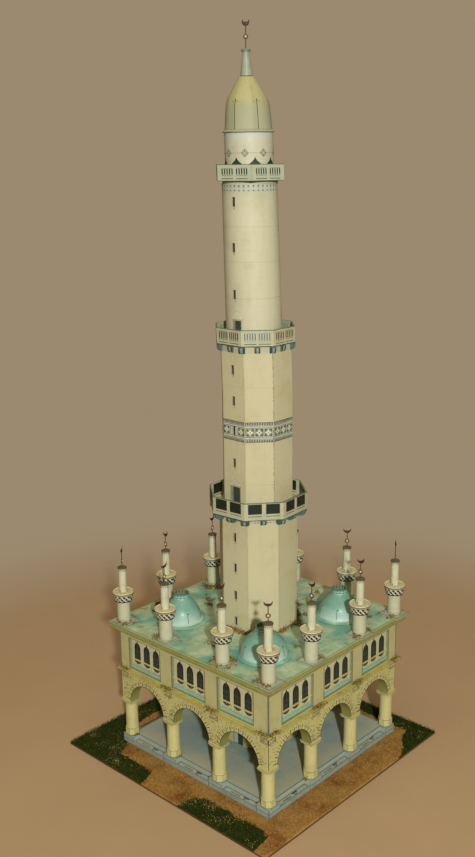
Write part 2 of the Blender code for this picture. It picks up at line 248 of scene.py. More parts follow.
def tube(path, radius, normal, closed=False, sides=8, flat=1.0, finish=0):
    # Round section carried along a path that lies in one plane with the given normal: across is
    # the normal crossed with the way; flat squeezes the section along the normal
    path = np.asarray(path, float)
    ahead = np.roll(path, -1, 0) - np.roll(path, 1, 0) if closed else np.gradient(path, axis=0)
    ahead /= np.linalg.norm(ahead, axis=1)[:, None]
    normal = np.asarray(normal, float)
    across = np.cross(normal, ahead)
    angle = np.arange(sides) * tau / sides
    radius = np.broadcast_to(radius, len(path))[:, None, None]
    ring = np.cos(angle)[None, :, None] * across[:, None] + flat * np.sin(angle)[None, :, None] * normal
    return gridPart(path[:, None] + radius * ring, around=True, caps=not closed, closed=closed, finish=finish)


def makePiece(name, parts, finishes, replaces=(), sharp=35.0):
    # Joins the parts into one mesh, in metres, with its faces' finishes and its print map
    counts = np.cumsum([0] + [len(part["points"]) for part in parts])
    points = np.concatenate([part["points"] for part in parts]) * mm
    faces = [face + start for part, start in zip(parts, counts) for face in part["faces"]]
    sizes = np.concatenate([np.full(len(face), face.shape[1]) for face in faces])
    corners = np.concatenate([face.ravel() for face in faces]).astype(np.int32)
    maps = np.concatenate([uv.reshape(-1, 2) for part in parts for uv in part["uv"]])
    kinds = np.concatenate([kind for part in parts for kind in part["finish"]]).astype(np.int32)
    mesh = bpy.data.meshes.new(name)
    mesh.vertices.add(len(points))
    mesh.vertices.foreach_set("co", points.astype(np.float32).ravel())
    mesh.loops.add(len(corners))
    mesh.loops.foreach_set("vertex_index", corners)
    mesh.polygons.add(len(sizes))
    mesh.polygons.foreach_set("loop_start", (np.cumsum(sizes) - sizes).astype(np.int32))
    mesh.polygons.foreach_set("material_index", kinds)
    mesh.uv_layers.new(name="print").data.foreach_set("uv", maps.astype(np.float32).ravel())
    for finish in finishes:
        mesh.materials.append(finish)
    if any("shade" in part for part in parts):
        shade = np.concatenate([part.get("shade", np.zeros(len(part["points"]))) for part in parts])
        mesh.attributes.new("shade", "FLOAT", "POINT").data.foreach_set("value", shade.astype(np.float32))
    mesh.update(calc_edges=True)
    mesh.validate()
    mesh.shade_smooth()
    mesh.set_sharp_from_angle(angle=math.radians(sharp))
    piece = bpy.data.objects.new(name, mesh)
    bpy.context.scene.collection.objects.link(piece)
    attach(piece, "root")
    if replaces:
        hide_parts(*replaces)


# Colours and node groups

def tone(red, green, blue):
    # Screen colour, 0 to 255, as the linear colour that a shader takes
    part = np.array([red, green, blue]) / 255
    linear = np.where(part <= 0.04045, part / 12.92, ((part + 0.055) / 1.055) ** 2.4)
    return (*(float(value) for value in linear), 1.0)


def addNode(tree, kind, inputs=None, **settings):
    # One node, its sockets linked or set
    node = tree.nodes.new("ShaderNode" + kind)
    for key, value in settings.items():
        setattr(node, key, value)
    for key, value in (inputs or {}).items():
        if isinstance(value, bpy.types.NodeSocket):
            tree.links.new(value, node.inputs[key])
        else:
            node.inputs[key].default_value = value
    return node


def sums(tree, operation, first, second=0.0):
    return addNode(tree, "Math", {0: first, 1: second}, operation=operation).outputs[0]


def vectors(tree, operation, first, second=(0.0, 0.0, 0.0)):
    # Vector maths; a length or a distance comes out as a value
    key = "Scale" if operation == "SCALE" else 1
    node = addNode(tree, "VectorMath", {0: first, key: second}, operation=operation)
    return node.outputs[1 if operation in ("LENGTH", "DISTANCE") else 0]


def smooth(tree, value, low, high, first=0.0, last=1.0):
    inputs = {"Value": value, "From Min": low, "From Max": high, "To Min": first, "To Max": last}
    return addNode(tree, "MapRange", inputs, interpolation_type="SMOOTHSTEP").outputs["Result"]


def mixed(tree, share, first, second, how="MIX"):
    node = addNode(tree, "Mix", {0: share, 6: first, 7: second}, data_type="RGBA", blend_type=how)
    return node.outputs[2]


def noise(tree, place, size, detail=3.0, rough=0.55):
    # Noise whose lumps are about the given size in millimetres
    scale = sums(tree, "DIVIDE", 1.0, size)
    node = addNode(tree, "TexNoise", {"Vector": place, "Scale": scale, "Detail": detail, "Roughness": rough})
    return node.outputs["Fac"]


def makeGroup(name, inputs, outputs, build):
    # Shader node group with named sockets; build gets the tree and its inputs, and returns the outputs
    kinds = {1: "NodeSocketFloat", 3: "NodeSocketVector", 4: "NodeSocketColor"}
    tree = bpy.data.node_groups.new(name, "ShaderNodeTree")
    for label, value in inputs.items():
        socket = tree.interface.new_socket(label, in_out="INPUT", socket_type=kinds[np.size(value)])
        socket.default_value = value
    for label, size in outputs.items():
        tree.interface.new_socket(label, in_out="OUTPUT", socket_type=kinds[size])
    given = tree.nodes.new("NodeGroupInput")
    result = tree.nodes.new("NodeGroupOutput")
    for label, socket in build(tree, given.outputs).items():
        tree.links.new(socket, result.inputs[label])
    return tree


def fillGroup(tree, group, inputs):
    return addNode(tree, "Group", inputs, node_tree=group).outputs


def splitOf(tree, place):
    return addNode(tree, "SeparateXYZ", {0: place}).outputs


def inked(tree, colour, share, amount, ink):
    # An ink laid over a colour, by its share times its amount
    return mixed(tree, sums(tree, "MULTIPLY", share, amount), colour, tone(*ink))


def washed(tree, colour, value, low, high, ink, first=0.0, last=1.0):
    # An ink laid over a colour by a value, from its first share at low to its last at high
    return mixed(tree, smooth(tree, value, low, high, first, last), colour, tone(*ink))


def buildGrain(tree, given):
    # Fibres of the card: fine noise, and a coarser one that makes the sheet uneven
    fine = noise(tree, given["Place"], given["Size"], 4.0, 0.7)
    wide = noise(tree, given["Place"], sums(tree, "MULTIPLY", given["Size"], 9.0), 2.0)
    height = sums(tree, "ADD", sums(tree, "MULTIPLY", fine, 0.6), sums(tree, "MULTIPLY", wide, 0.7))
    return {"Height": height, "Speckle": smooth(tree, fine, 0.58, 0.75)}


def buildAged(tree, given):
    # Uneven ink: the colour goes lighter and darker, and stains in patches and fine specks
    place = vectors(tree, "ADD", given["Place"], given["Seed"])
    cloud = noise(tree, place, given["Size"], 5.0, 0.62)
    small = noise(tree, place, sums(tree, "MULTIPLY", given["Size"], 0.22), 4.0, 0.65)
    both = sums(tree, "ADD", sums(tree, "MULTIPLY", cloud, 0.7), sums(tree, "MULTIPLY", small, 0.3))
    stained = sums(tree, "MULTIPLY", smooth(tree, both, 0.47, 0.66), given["Stain Amount"])
    shift = sums(tree, "MULTIPLY", sums(tree, "SUBTRACT", small, 0.5), given["Mottle"])
    uneven = vectors(tree, "SCALE", given["Colour"], sums(tree, "ADD", shift, 1.0))
    return {"Colour": mixed(tree, stained, uneven, given["Stain"]), "Mask": stained}


def buildRuled(tree, given):
    # Thin printed line at each whole step of a value, broken up a little by noise
    off = sums(tree, "PINGPONG", sums(tree, "SUBTRACT", given["Value"], given["Start"]),
               sums(tree, "MULTIPLY", given["Step"], 0.5))
    line = smooth(tree, off, sums(tree, "MULTIPLY", given["Width"], 0.3), given["Width"], 1.0, 0.0)
    worn = smooth(tree, noise(tree, given["Place"], 5.0, 3.0), 0.3, 0.6, 0.35, 1.0)
    return {"Line": sums(tree, "MULTIPLY", line, worn), "Distance": off}


def buildRuns(tree, given):
    # Upright run marks: noise stretched twelve times along Z
    tall = vectors(tree, "MULTIPLY", given["Place"], (1.0, 1.0, 0.08))
    streak = noise(tree, vectors(tree, "ADD", tall, given["Seed"]), given["Size"], 4.0, 0.6)
    return {"Mask": smooth(tree, streak, 0.5, 0.72)}


def buildSquare(tree, given):
    # Distance from the axis measured square: the greater of |x| and |y|
    x, y, z = splitOf(tree, given["Place"])
    away = sums(tree, "MAXIMUM", sums(tree, "ABSOLUTE", x), sums(tree, "ABSOLUTE", y))
    return {"Distance": away, "Height": z}


point = (0.0, 0.0, 0.0)
grey = (0.5, 0.5, 0.5, 1.0)
cardGrain = makeGroup("card grain", {"Place": point, "Size": 0.25}, {"Height": 1, "Speckle": 1}, buildGrain)
agedInk = makeGroup("aged ink", {
    "Place": point, "Colour": grey, "Stain": grey, "Stain Amount": 0.3, "Size": 20.0, "Mottle": 0.2,
    "Seed": point}, {"Colour": 4, "Mask": 1}, buildAged)
ruledLine = makeGroup("ruled line", {"Place": point, "Value": 0.0, "Start": 0.0, "Step": 4.0, "Width": 0.2},
                      {"Line": 1, "Distance": 1}, buildRuled)
runMarks = makeGroup("run marks", {"Place": point, "Size": 6.0, "Seed": point}, {"Mask": 1}, buildRuns)
squareWay = makeGroup("square distance", {"Place": point}, {"Distance": 1, "Height": 1}, buildSquare)


def newMaterial(name):
    # Empty material with its shader, and its Object coordinates in millimetres
    material = bpy.data.materials.new(name)
    material.use_nodes = True
    tree = material.node_tree
    shader = tree.nodes["Principled BSDF"]
    place = vectors(tree, "SCALE", addNode(tree, "TexCoord").outputs["Object"], 1000.0)
    return material, tree, shader, place


def bumped(tree, shader, height, strength, distance):
    bump = addNode(tree, "Bump", {"Height": height, "Strength": strength, "Distance": distance})
    tree.links.new(bump.outputs[0], shader.inputs["Normal"])


def finishSurface(tree, shader, place, colour, rough, gloss=0.35, bump=0.25, grain=0.3, coat=0.0):
    # What every printed card ends with: grain in its gloss and height
    height = fillGroup(tree, cardGrain, {"Place": place, "Size": grain})["Height"]
    tree.links.new(colour, shader.inputs["Base Color"])
    tree.links.new(smooth(tree, height, 0.3, 0.9, rough - 0.06, rough + 0.1), shader.inputs["Roughness"])
    bumped(tree, shader, height, bump, 0.00012)
    shader.inputs["Specular IOR Level"].default_value = gloss
    shader.inputs["Coat Weight"].default_value = coat
    shader.inputs["Coat Roughness"].default_value = 0.18


def cardMaterial(name, colour, stain, stained=0.5, size=3.0, mottle=0.2, rough=0.5, seed=0.0, runs=None,
                 courses=None, rise=None, fold=None, **surface):
    # Printed card, of aged ink. It may have runs (size, amount and colour), courses (step, width,
    # amount and colour), another colour by height (from, to, amount and colour) and folds by the
    # print map (a line at each fold, with painted shade beside it); what is left over goes to
    # finishSurface
    material, tree, shader, place = newMaterial(name)
    shown = fillGroup(tree, agedInk, {
        "Place": place, "Colour": tone(*colour), "Stain": tone(*stain), "Stain Amount": stained,
        "Size": size, "Mottle": mottle, "Seed": (seed, seed * 1.7, seed * 0.6)})["Colour"]
    if runs:
        streaks = fillGroup(tree, runMarks, {"Place": place, "Size": runs[0], "Seed": (seed, 3.0, 0.0)})
        shown = inked(tree, shown, streaks["Mask"], *runs[1:])
    if courses:
        ruled = fillGroup(tree, ruledLine, {"Place": place, "Value": splitOf(tree, place)[2],
                                            "Step": courses[0], "Width": courses[1]})
        shown = inked(tree, shown, ruled["Line"], *courses[2:])
    if rise:
        low, high, amount, other = rise
        shown = washed(tree, shown, splitOf(tree, place)[2], low, high, other, 0.0, amount)
    if fold:
        way = splitOf(tree, addNode(tree, "UVMap", uv_map="print").outputs[0])[0]
        line = fillGroup(tree, ruledLine, {"Place": place, "Value": way, "Step": fold["step"],
                                           "Start": fold.get("start", 0.0), "Width": fold["width"]})
        # Beside each fold the colour goes towards the shade colour: painted shade
        shown = washed(tree, shown, line["Distance"], 0.0, fold["shade"], fold["shadeColour"],
                       fold["shadeAmount"], 0.0)
        shown = inked(tree, shown, line["Line"], fold["amount"], fold["colour"])
    finishSurface(tree, shader, place, shown, rough, **surface)
    return material


def inkMaterial(name, colour, rough=0.6, mottle=0.5):
    # Small printed marks: one ink that varies a little from mark to mark
    stain = tuple(0.75 * value for value in colour)
    return cardMaterial(name, colour, stain, mottle=mottle, rough=rough, bump=0.1)


def setFinish(node, material):
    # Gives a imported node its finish
    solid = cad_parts[node]
    for slot in solid.material_slots:
        slot.material = material
    if not solid.material_slots:
        solid.data.materials.append(material)


print("stage: surfaces and node groups ready")

inkDark = inkMaterial("dark_ink", (44, 48, 40))
inkGreen = inkMaterial("green_ink", (74, 88, 66))
inkGrey = inkMaterial("grey_ink", (128, 136, 128))
inkBlue = inkMaterial("blue_ink", (112, 134, 140))
inkBrown = inkMaterial("brown_ink", (104, 84, 54))
paperWhite = inkMaterial("white_ink", (216, 215, 192), mottle=0.15)


# Camera, light and floor

view = {"azimuth": 42.877, "elevation": 14.757, "roll": -0.733, "lens": 43.017,
        "place": (0.36057, -0.40418, 0.33303)}
studio = {
    "key": {"place": (0.8, -0.722, 0.555), "size": 0.045, "power": 11.4, "colour": (1.0, 1.0, 0.97)},
    "fill": {"place": (0.1, -0.3, 1.4), "size": 1.2, "power": 5.5, "colour": (1.0, 0.84, 0.62)},
    "back": {"place": (-0.5, 0.9, 0.9), "size": 1.0, "power": 1.3, "colour": (1.0, 0.88, 0.72)},
    "air": (0.70, 0.54, 0.36), "airStrength": 0.22, "wall": (156, 138, 112), "floor": (178, 150, 112),
    "floorFade": (0.2, 0.4),
}


def makeStudio():
    camera = bpy.data.objects.new("camera", bpy.data.cameras.new("camera"))
    camera.data.lens = view["lens"]
    camera.data.sensor_width = 36.0
    camera.data.clip_start = 0.01
    turn = (Matrix.Rotation(math.radians(view["azimuth"]), 4, "Z")
            @ Matrix.Rotation(math.radians(90 - view["elevation"]), 4, "X")
            @ Matrix.Rotation(math.radians(view["roll"]), 4, "Z"))
    camera.matrix_world = Matrix.Translation(view["place"]) @ turn
    bpy.context.scene.collection.objects.link(camera)
    bpy.context.scene.camera = camera
    aim = Vector((0.0, 0.0, 0.16))
    for name in ("key", "fill", "back"):
        values = studio[name]
        lamp = bpy.data.lights.new(name, "AREA")
        lamp.shape = "DISK"
        lamp.size = values["size"]
        lamp.energy = values["power"]
        lamp.color = values["colour"]
        light = bpy.data.objects.new(name, lamp)
        light.location = values["place"]
        light.rotation_euler = (aim - Vector(values["place"])).to_track_quat("-Z", "Y").to_euler()
        bpy.context.scene.collection.objects.link(light)
    world = bpy.context.scene.world or bpy.data.worlds.new("studio air")
    bpy.context.scene.world = world
    world.use_nodes = True
    # The air lights the model; the camera sees a plain wall colour behind it
    tree, seen = world.node_tree, world.node_tree.nodes["Background"]
    air = tuple(value * studio["airStrength"] for value in studio["air"]) + (1.0,)
    ray = addNode(tree, "LightPath").outputs["Is Camera Ray"]
    tree.links.new(mixed(tree, ray, air, tone(*studio["wall"])), seen.inputs["Color"])
    seen.inputs["Strength"].default_value = 1.0
    bpy.context.scene.view_settings.view_transform = "Standard"
    turn = np.linspace(0, tau, 121)[:-1]
    edge = studio["floorFade"][1] * np.stack([np.cos(turn), np.sin(turn), np.zeros(120)], -1)
    mesh = bpy.data.meshes.new("studio_floor")
    mesh.from_pydata(edge.tolist(), [], [tuple(range(120))])
    floor = bpy.data.objects.new("studio_floor", mesh)
    bpy.context.scene.collection.objects.link(floor)
    material, tree, shader, place = newMaterial("studio_paper")
    soft = noise(tree, place, 60.0, 3.0)
    shift = smooth(tree, soft, 0.2, 0.8, 0.97, 1.03)
    tree.links.new(vectors(tree, "SCALE", tone(*studio["floor"])[:3], shift), shader.inputs["Base Color"])
    shader.inputs["Roughness"].default_value = 0.9
    away = addNode(tree, "VectorMath", {0: place}, operation="LENGTH").outputs[1]
    fade = smooth(tree, away, studio["floorFade"][0] / mm, studio["floorFade"][1] / mm, 1.0, 0.0)
    tree.links.new(fade, shader.inputs["Alpha"])
    mesh.materials.append(material)


makeStudio()
print("stage: camera, light and floor")

# Ground: board edge, sand path round the plinth, grass flock

ground = {
    "edge": 0.35, "relief": 0.5, "along": 600, "across": 30, "inner": 55.5,
    "grass": (28, 42, 10), "moss": (58, 60, 16), "sand": (158, 122, 64), "rust": (112, 64, 24),
    # side: dark brown of the board's side, its own colour and partly painted shade along its edge
    "side": (92, 68, 38),
    # width of the sand outside the plinth, by the place along each side
    "front": ((-60, 0), (-53, 0), (-48, 11), (-20, 12), (-15, 30), (11, 30), (14, 14), (20, 9.5), (60, 9.5),
              (66, 12), (68, 30), (90, 30)),
    "right": ((-90, 30), (30, 30), (35, 18), (45, 15), (50, 10), (60, 6), (66, 2), (80, 0)),
    "back": ((-80, 0), (-60, 5), (-20, 7), (20, 5), (60, 7), (80, 0)),
    "left": ((-80, 0), (-50, 6), (-10, 9), (18, 9), (40, 9), (46, 0), (80, 0)),
    "blades": 26000, "bladeTall": (0.45, 1.2), "bladeWide": 0.15,
    "grains": 9000, "grainSize": (0.1, 0.32), "specks": 2400, "speckHeaps": 40,
    # how far the front edge of the card lies in from the board's, at its left and right ends
    "frontIn": (2.4, 0.7),
}


def softNoise(x, y, size, seed):
    # Sum of a few slanted waves with turned directions and odd phases: smooth, and the same each run
    waves = np.random.default_rng(seed)
    total = np.zeros(np.shape(x))
    for octave in range(4):
        for k in range(5):
            angle, phase = waves.uniform(0, tau, 2)
            rate = tau / size * 1.9 ** octave * waves.uniform(0.7, 1.3)
            total += np.sin(rate * (x * math.cos(angle) + y * math.sin(angle)) + phase) * 0.55 ** octave
    return total / 5


def sandShare(x, y):
    # 1 on the sand and 0 on the grass: the path's width there, less the distance from the plinth
    wall = spanOf("plinth_step")[1][0]
    ax, ay = np.abs(x), np.abs(y)
    side = np.where(ay >= ax, np.where(y < 0, 0, 2), np.where(x > 0, 1, 3))
    along = np.choose(side, [x, y, -x, -y])
    width = np.zeros(np.shape(x))
    for index, name in enumerate(sides):
        where, wide = np.array(ground[name], float).T
        width = np.where(side == index, np.interp(along, where, wide), width)
    off = width + 1.1 * softNoise(x, y, 14.0, 5) + 1.0 * softNoise(x, y, 3.2, 6) - (np.maximum(ax, ay) - wall)
    return np.clip(off / 1.8 + 0.5, 0, 1) * (width > 0.3)


def flockMaterial(name, size, rough, colours):
    # Flock and grit: colours by the piece's own shade value, with noise between the shades
    material, tree, shader, place = newMaterial(name)
    own = addNode(tree, "Attribute", attribute_name="shade").outputs["Fac"]
    fleck = noise(tree, place, size, 3.0, 0.7)
    mix = sums(tree, "ADD", sums(tree, "MULTIPLY", own, 0.6), sums(tree, "MULTIPLY", fleck, 1 - 0.6))
    ramp = addNode(tree, "ValToRGB", {0: mix})
    steps = ramp.color_ramp.elements
    for step, (position, colour) in zip(steps, (colours[0], colours[-1])):
        step.color = tone(*colour)
        step.position = position
    for position, colour in colours[1:-1]:
        steps.new(position).color = tone(*colour)
    tree.links.new(ramp.outputs[0], shader.inputs["Base Color"])
    shader.inputs["Roughness"].default_value = rough
    shader.inputs["Specular IOR Level"].default_value = 0.15
    bumped(tree, shader, fleck, 0.5, 0.0002)
    return material


def groundMaterial():
    # The board's cover: sand and grass by the shade value, rust patches in the sand, and its side dark brown,
    # partly as painted shade
    material, tree, shader, place = newMaterial("flocked_ground")
    own = addNode(tree, "Attribute", attribute_name="shade").outputs["Fac"]
    fine = noise(tree, place, 1.1, 4.0, 0.75)
    wide = noise(tree, place, 19.0, 5.0, 0.65)
    sand = washed(tree, tone(*ground["sand"]), wide, 0.44, 0.7, ground["rust"], 0.0, 0.85)
    sand = vectors(tree, "SCALE", sand, smooth(tree, fine, 0.25, 0.75, 0.65, 1.35))
    grass = washed(tree, tone(*ground["grass"]), fine, 0.4, 0.7, ground["moss"])
    border = sums(tree, "ADD", own, smooth(tree, fine, 0.3, 0.7, -0.3, 0.3))
    colour = mixed(tree, smooth(tree, border, 0.3, 0.7), grass, sand)
    # The side is dark brown: the board's own colour, with painted shade for the shadow line along its edge
    colour = mixed(tree, smooth(tree, splitOf(tree, place)[2], 0.95, 1.2), tone(*ground["side"]), colour)
    tree.links.new(colour, shader.inputs["Base Color"])
    shader.inputs["Roughness"].default_value = 0.95
    shader.inputs["Specular IOR Level"].default_value = 0.1
    bumped(tree, shader, fine, 0.8, 0.0003)
    return material


def turnedBy(count, source):
    # Random turns as matrices, from random unit quaternions
    q = source.normal(size=(count, 4))
    w, x, y, z = (q / np.linalg.norm(q, axis=1)[:, None]).T
    rows = [[1 - 2 * (y * y + z * z), 2 * (x * y - z * w), 2 * (x * z + y * w)],
            [2 * (x * y + z * w), 1 - 2 * (x * x + z * z), 2 * (y * z - x * w)],
            [2 * (x * z - y * w), 2 * (y * z + x * w), 1 - 2 * (x * x + y * y)]]
    return np.moveaxis(np.array(rows), -1, 0)


grainShape = np.array([(1, 0, 0), (-1, 0, 0), (0, 1, 0), (0, -1, 0), (0, 0, 1), (0, 0, -1)], float)
grainFaces = np.array([(0, 2, 4), (2, 1, 4), (1, 3, 4), (3, 0, 4),
                       (2, 0, 5), (1, 2, 5), (3, 1, 5), (0, 3, 5)])
bladeFaces = np.array([(0, 1, 3), (1, 2, 3), (2, 0, 3), (2, 1, 0)])


def grainPart(places, sizes, shade, source):
    # Eight-sided grains: the same small shape, turned and stretched by chance, at each place
    stretch = source.uniform(0.6, 1.3, (len(places), 1, 3))
    shape = grainShape[None] * stretch * sizes[:, None, None]
    points = np.einsum("nij,nkj->nki", turnedBy(len(places), source), shape) + places[:, None]
    part = repeated({"faces": [grainFaces]}, points)
    part["shade"] = np.repeat(shade, len(grainShape))
    return part


def bladePart(roots, tall, wide, shade, source, droop=0.75):
    # Pointed fibres: a small triangle at the root, and a tip that leans a chance way
    count = len(roots)
    turn, lean = source.uniform(0, tau, count), source.uniform(0, droop, count)
    ahead = [np.cos(turn) * np.sin(lean), np.sin(turn) * np.sin(lean), np.cos(lean)]
    tip = np.stack(ahead, -1) * tall[:, None]
    spin = source.uniform(0, tau, count)[:, None] + np.arange(3)[None] * tau / 3
    foot = np.stack([np.cos(spin), np.sin(spin), np.full_like(spin, -0.4)], -1) * wide
    points = np.concatenate([foot, tip[:, None]], 1) + roots[:, None]
    part = repeated({"faces": [bladeFaces]}, points)
    part["shade"] = np.repeat(shade, 4)
    return part


def skewOf(x, y, centre, half):
    # The card isn't quite square: its front edge comes in, more at the left
    share = np.clip((x - centre[0]) / half[0] / 2 + 0.5, 0, 1)
    out = np.clip((centre[1] - y - 57) / (half[1] - 57), 0, 1)
    return out * (ground["frontIn"][0] * (1 - share) + ground["frontIn"][1] * share)


def makeGround():
    source = np.random.default_rng(7)
    low, high = spanOf("base_board")
    centre, half, top = (low[:2] + high[:2]) / 2, (high[:2] - low[:2]) / 2, high[2]
    # Loops round the board: from under the plinth out to the edge, down it and in underneath
    walk = np.linspace(0, 4, ground["along"], endpoint=False)
    side, share = np.floor(walk).astype(int), (walk % 1) * 2 - 1
    ringX = np.choose(side, [share, np.ones_like(share), -share, -np.ones_like(share)])
    ringY = np.choose(side, [-np.ones_like(share), share, np.ones_like(share), -share])
    out = np.linspace(0, 1, ground["across"])[:, None]
    x = ringX * ground["inner"] * (1 - out) + (centre[0] + ringX * half[0]) * out
    y = ringY * ground["inner"] * (1 - out) + (centre[1] + ringY * half[1]) * out
    share = sandShare(x, y)
    rough = ground["relief"] * (0.5 + 0.5 * softNoise(x, y, 6.0, 8))
    swell = np.sin(np.pi * np.clip(out * 1.02 + 0.02, 0, 1)) ** 0.25
    z = top + 0.05 + np.clip(rough, 0, 1) * (1 - 0.6 * share) * swell
    z[-1] = top - ground["edge"]
    under = [(1.0, 0.0), (0.9, 0.0)]
    x = np.concatenate([x] + [centre[0] + ringX[None] * half[0] * scale for scale, level in under])
    y = np.concatenate([y] + [centre[1] + ringY[None] * half[1] * scale for scale, level in under])
    z = np.concatenate([z] + [np.full((1, ground["along"]), level) for scale, level in under])
    y = y + skewOf(x, y, centre, half)
    cover = gridPart(np.stack([x, y, z], -1)[::-1], around=True, caps=True)
    cover["shade"] = np.concatenate([np.repeat(share[-1:], len(under), 0), share[::-1]]).ravel()
    makePiece("base_board", [cover], [groundMaterial()], ["base_board"], sharp=60.0)

    # Fibres on the grass and grains on the sand, both where the cover has them
    x = centre[0] + source.uniform(-half[0], half[0], 90000)
    y = centre[1] + source.uniform(-half[1], half[1], 90000)
    free = np.maximum(np.abs(x), np.abs(y)) > spanOf("plinth_step")[1][0] + 0.2
    x, y = x[free], y[free]
    share = sandShare(x, y)
    level = top + 0.1 + 0.25 * (1 - share)
    grass = np.nonzero(share < source.uniform(0.1, 1.0, len(x)))[0][:ground["blades"]]
    tall = source.uniform(*ground["bladeTall"], len(grass))
    y = y + skewOf(x, y, centre, half * 1.01)
    roots = np.stack([x[grass], y[grass], level[grass]], -1)
    blades = bladePart(roots, tall, ground["bladeWide"], source.uniform(0, 0.8, len(grass)), source)
    # Pale specks in loose heaps among the fibres
    near = np.nonzero(roots[:, 1] < -64)[0]  # a third of the heaps lie in the front strip
    heap = np.concatenate([source.integers(0, len(roots), ground["speckHeaps"] * 2 // 3),
                           source.choice(near, ground["speckHeaps"] - ground["speckHeaps"] * 2 // 3)])
    speck = roots[np.repeat(heap, ground["specks"] // ground["speckHeaps"])]
    speck = speck + source.normal(0, 1, speck.shape) * (2.3, 2.3, 0.1) + (0.0, 0.0, 0.8)
    reach = np.minimum(half, 76.0)
    speck[:, :2] = np.clip(speck[:, :2], centre[:2] - reach, centre[:2] + reach)
    speck = speck[np.max(np.abs(speck[:, :2]), axis=1) > spanOf("plinth_step")[1][0] + 0.5]
    pale = source.random(len(speck)) < 0.4
    bits = grainPart(speck, source.uniform(0.14, 0.34, len(speck)), np.where(pale, 1.0, 0.62), source)
    green = flockMaterial("grass_flock", 3.5, 0.9, (
        (0.2, (18, 32, 6)), (0.42, (36, 54, 10)), (0.6, (62, 68, 14)), (0.76, (106, 88, 32)),
        (0.95, (210, 198, 144))))
    makePiece("grass_flock", [blades, bits], [green], sharp=20.0)
    sand = np.nonzero(share > source.uniform(0.3, 0.9, len(x)))[0][:ground["grains"]]
    places = np.stack([x[sand], y[sand], top + source.uniform(0.15, 0.5, len(sand))], -1)
    sizes = source.uniform(*ground["grainSize"], len(sand))
    grit = grainPart(places, sizes, source.uniform(0, 1, len(sand)), source)
    ochre = flockMaterial("sand_grit", 12.0, 0.85, (
        (0.2, (104, 64, 26)), (0.42, (142, 102, 48)), (0.6, (164, 124, 64)), (0.85, (190, 156, 98))))
    makePiece("sand_grains", [grit], [ochre], sharp=20.0)


makeGround()
print("stage: ground")

# Plinth

plinth = {
    # rim: where a dark teal line of painted shade runs round the terrace
    "rim": 52.1, "pedestal": 5.0, "borderIn": 0.55, "borderWidth": 0.32,
    "patchLong": 3.8, "patchWide": 1.1, "tile": 11.9, "columns": (-52.9, -17.85, 17.85, 52.9),
    "colour": (152, 162, 150), "stain": (108, 122, 112), "floor": (150, 166, 158), "tan": (176, 176, 148),
    # deep: the terrace's painted shade colour near the tower
    "deep": (98, 134, 138),
}


def floorMaterial():
    # Terrace: pale blue grey, faint square tiles, tan clouds, and painted shade near the tower and along the
    # rim
    material, tree, shader, place = newMaterial("terrace_print")
    colour = fillGroup(tree, agedInk, {
        "Place": place, "Colour": tone(*plinth["floor"]), "Stain": tone(*plinth["tan"]), "Stain Amount": 0.6,
        "Size": 24.0, "Mottle": 0.22, "Seed": (4.0, 6.8, 2.4)})["Colour"]
    # Deep blue towards the tower, as painted shade under the gallery, and tan towards the edge, with a cloudy
    # border
    way = fillGroup(tree, squareWay, {"Place": place})["Distance"]
    cloud = sums(tree, "ADD", way, sums(tree, "MULTIPLY", noise(tree, place, 16.0, 5.0, 0.6), 30.0))
    colour = washed(tree, colour, cloud, 36.0, 50.0, plinth["deep"], 0.6, 0.0)
    sandy = smooth(tree, cloud, 50.0, 64.0, 0.0, 0.7)
    colour = inked(tree, colour, sandy, smooth(tree, way, 52.3, 52.8, 1.0, 0.1), plinth["tan"])
    split = splitOf(tree, place)
    for axis in (0, 1):
        ruled = fillGroup(tree, ruledLine, {"Place": place, "Value": split[axis], "Start": plinth["tile"] / 2,
                                            "Step": plinth["tile"], "Width": 0.2})
        colour = inked(tree, colour, ruled["Line"], 0.2, (92, 108, 112))
    # Dark teal line along the rim of the terrace: painted shade at the step's edge
    off = sums(tree, "ABSOLUTE", sums(tree, "SUBTRACT", way, plinth["rim"]))
    colour = inked(tree, colour, smooth(tree, off, 0.15, 0.4, 1.0, 0.0), 0.85, (60, 104, 108))
    finishSurface(tree, shader, place, colour, 0.68, gloss=0.25)
    return material


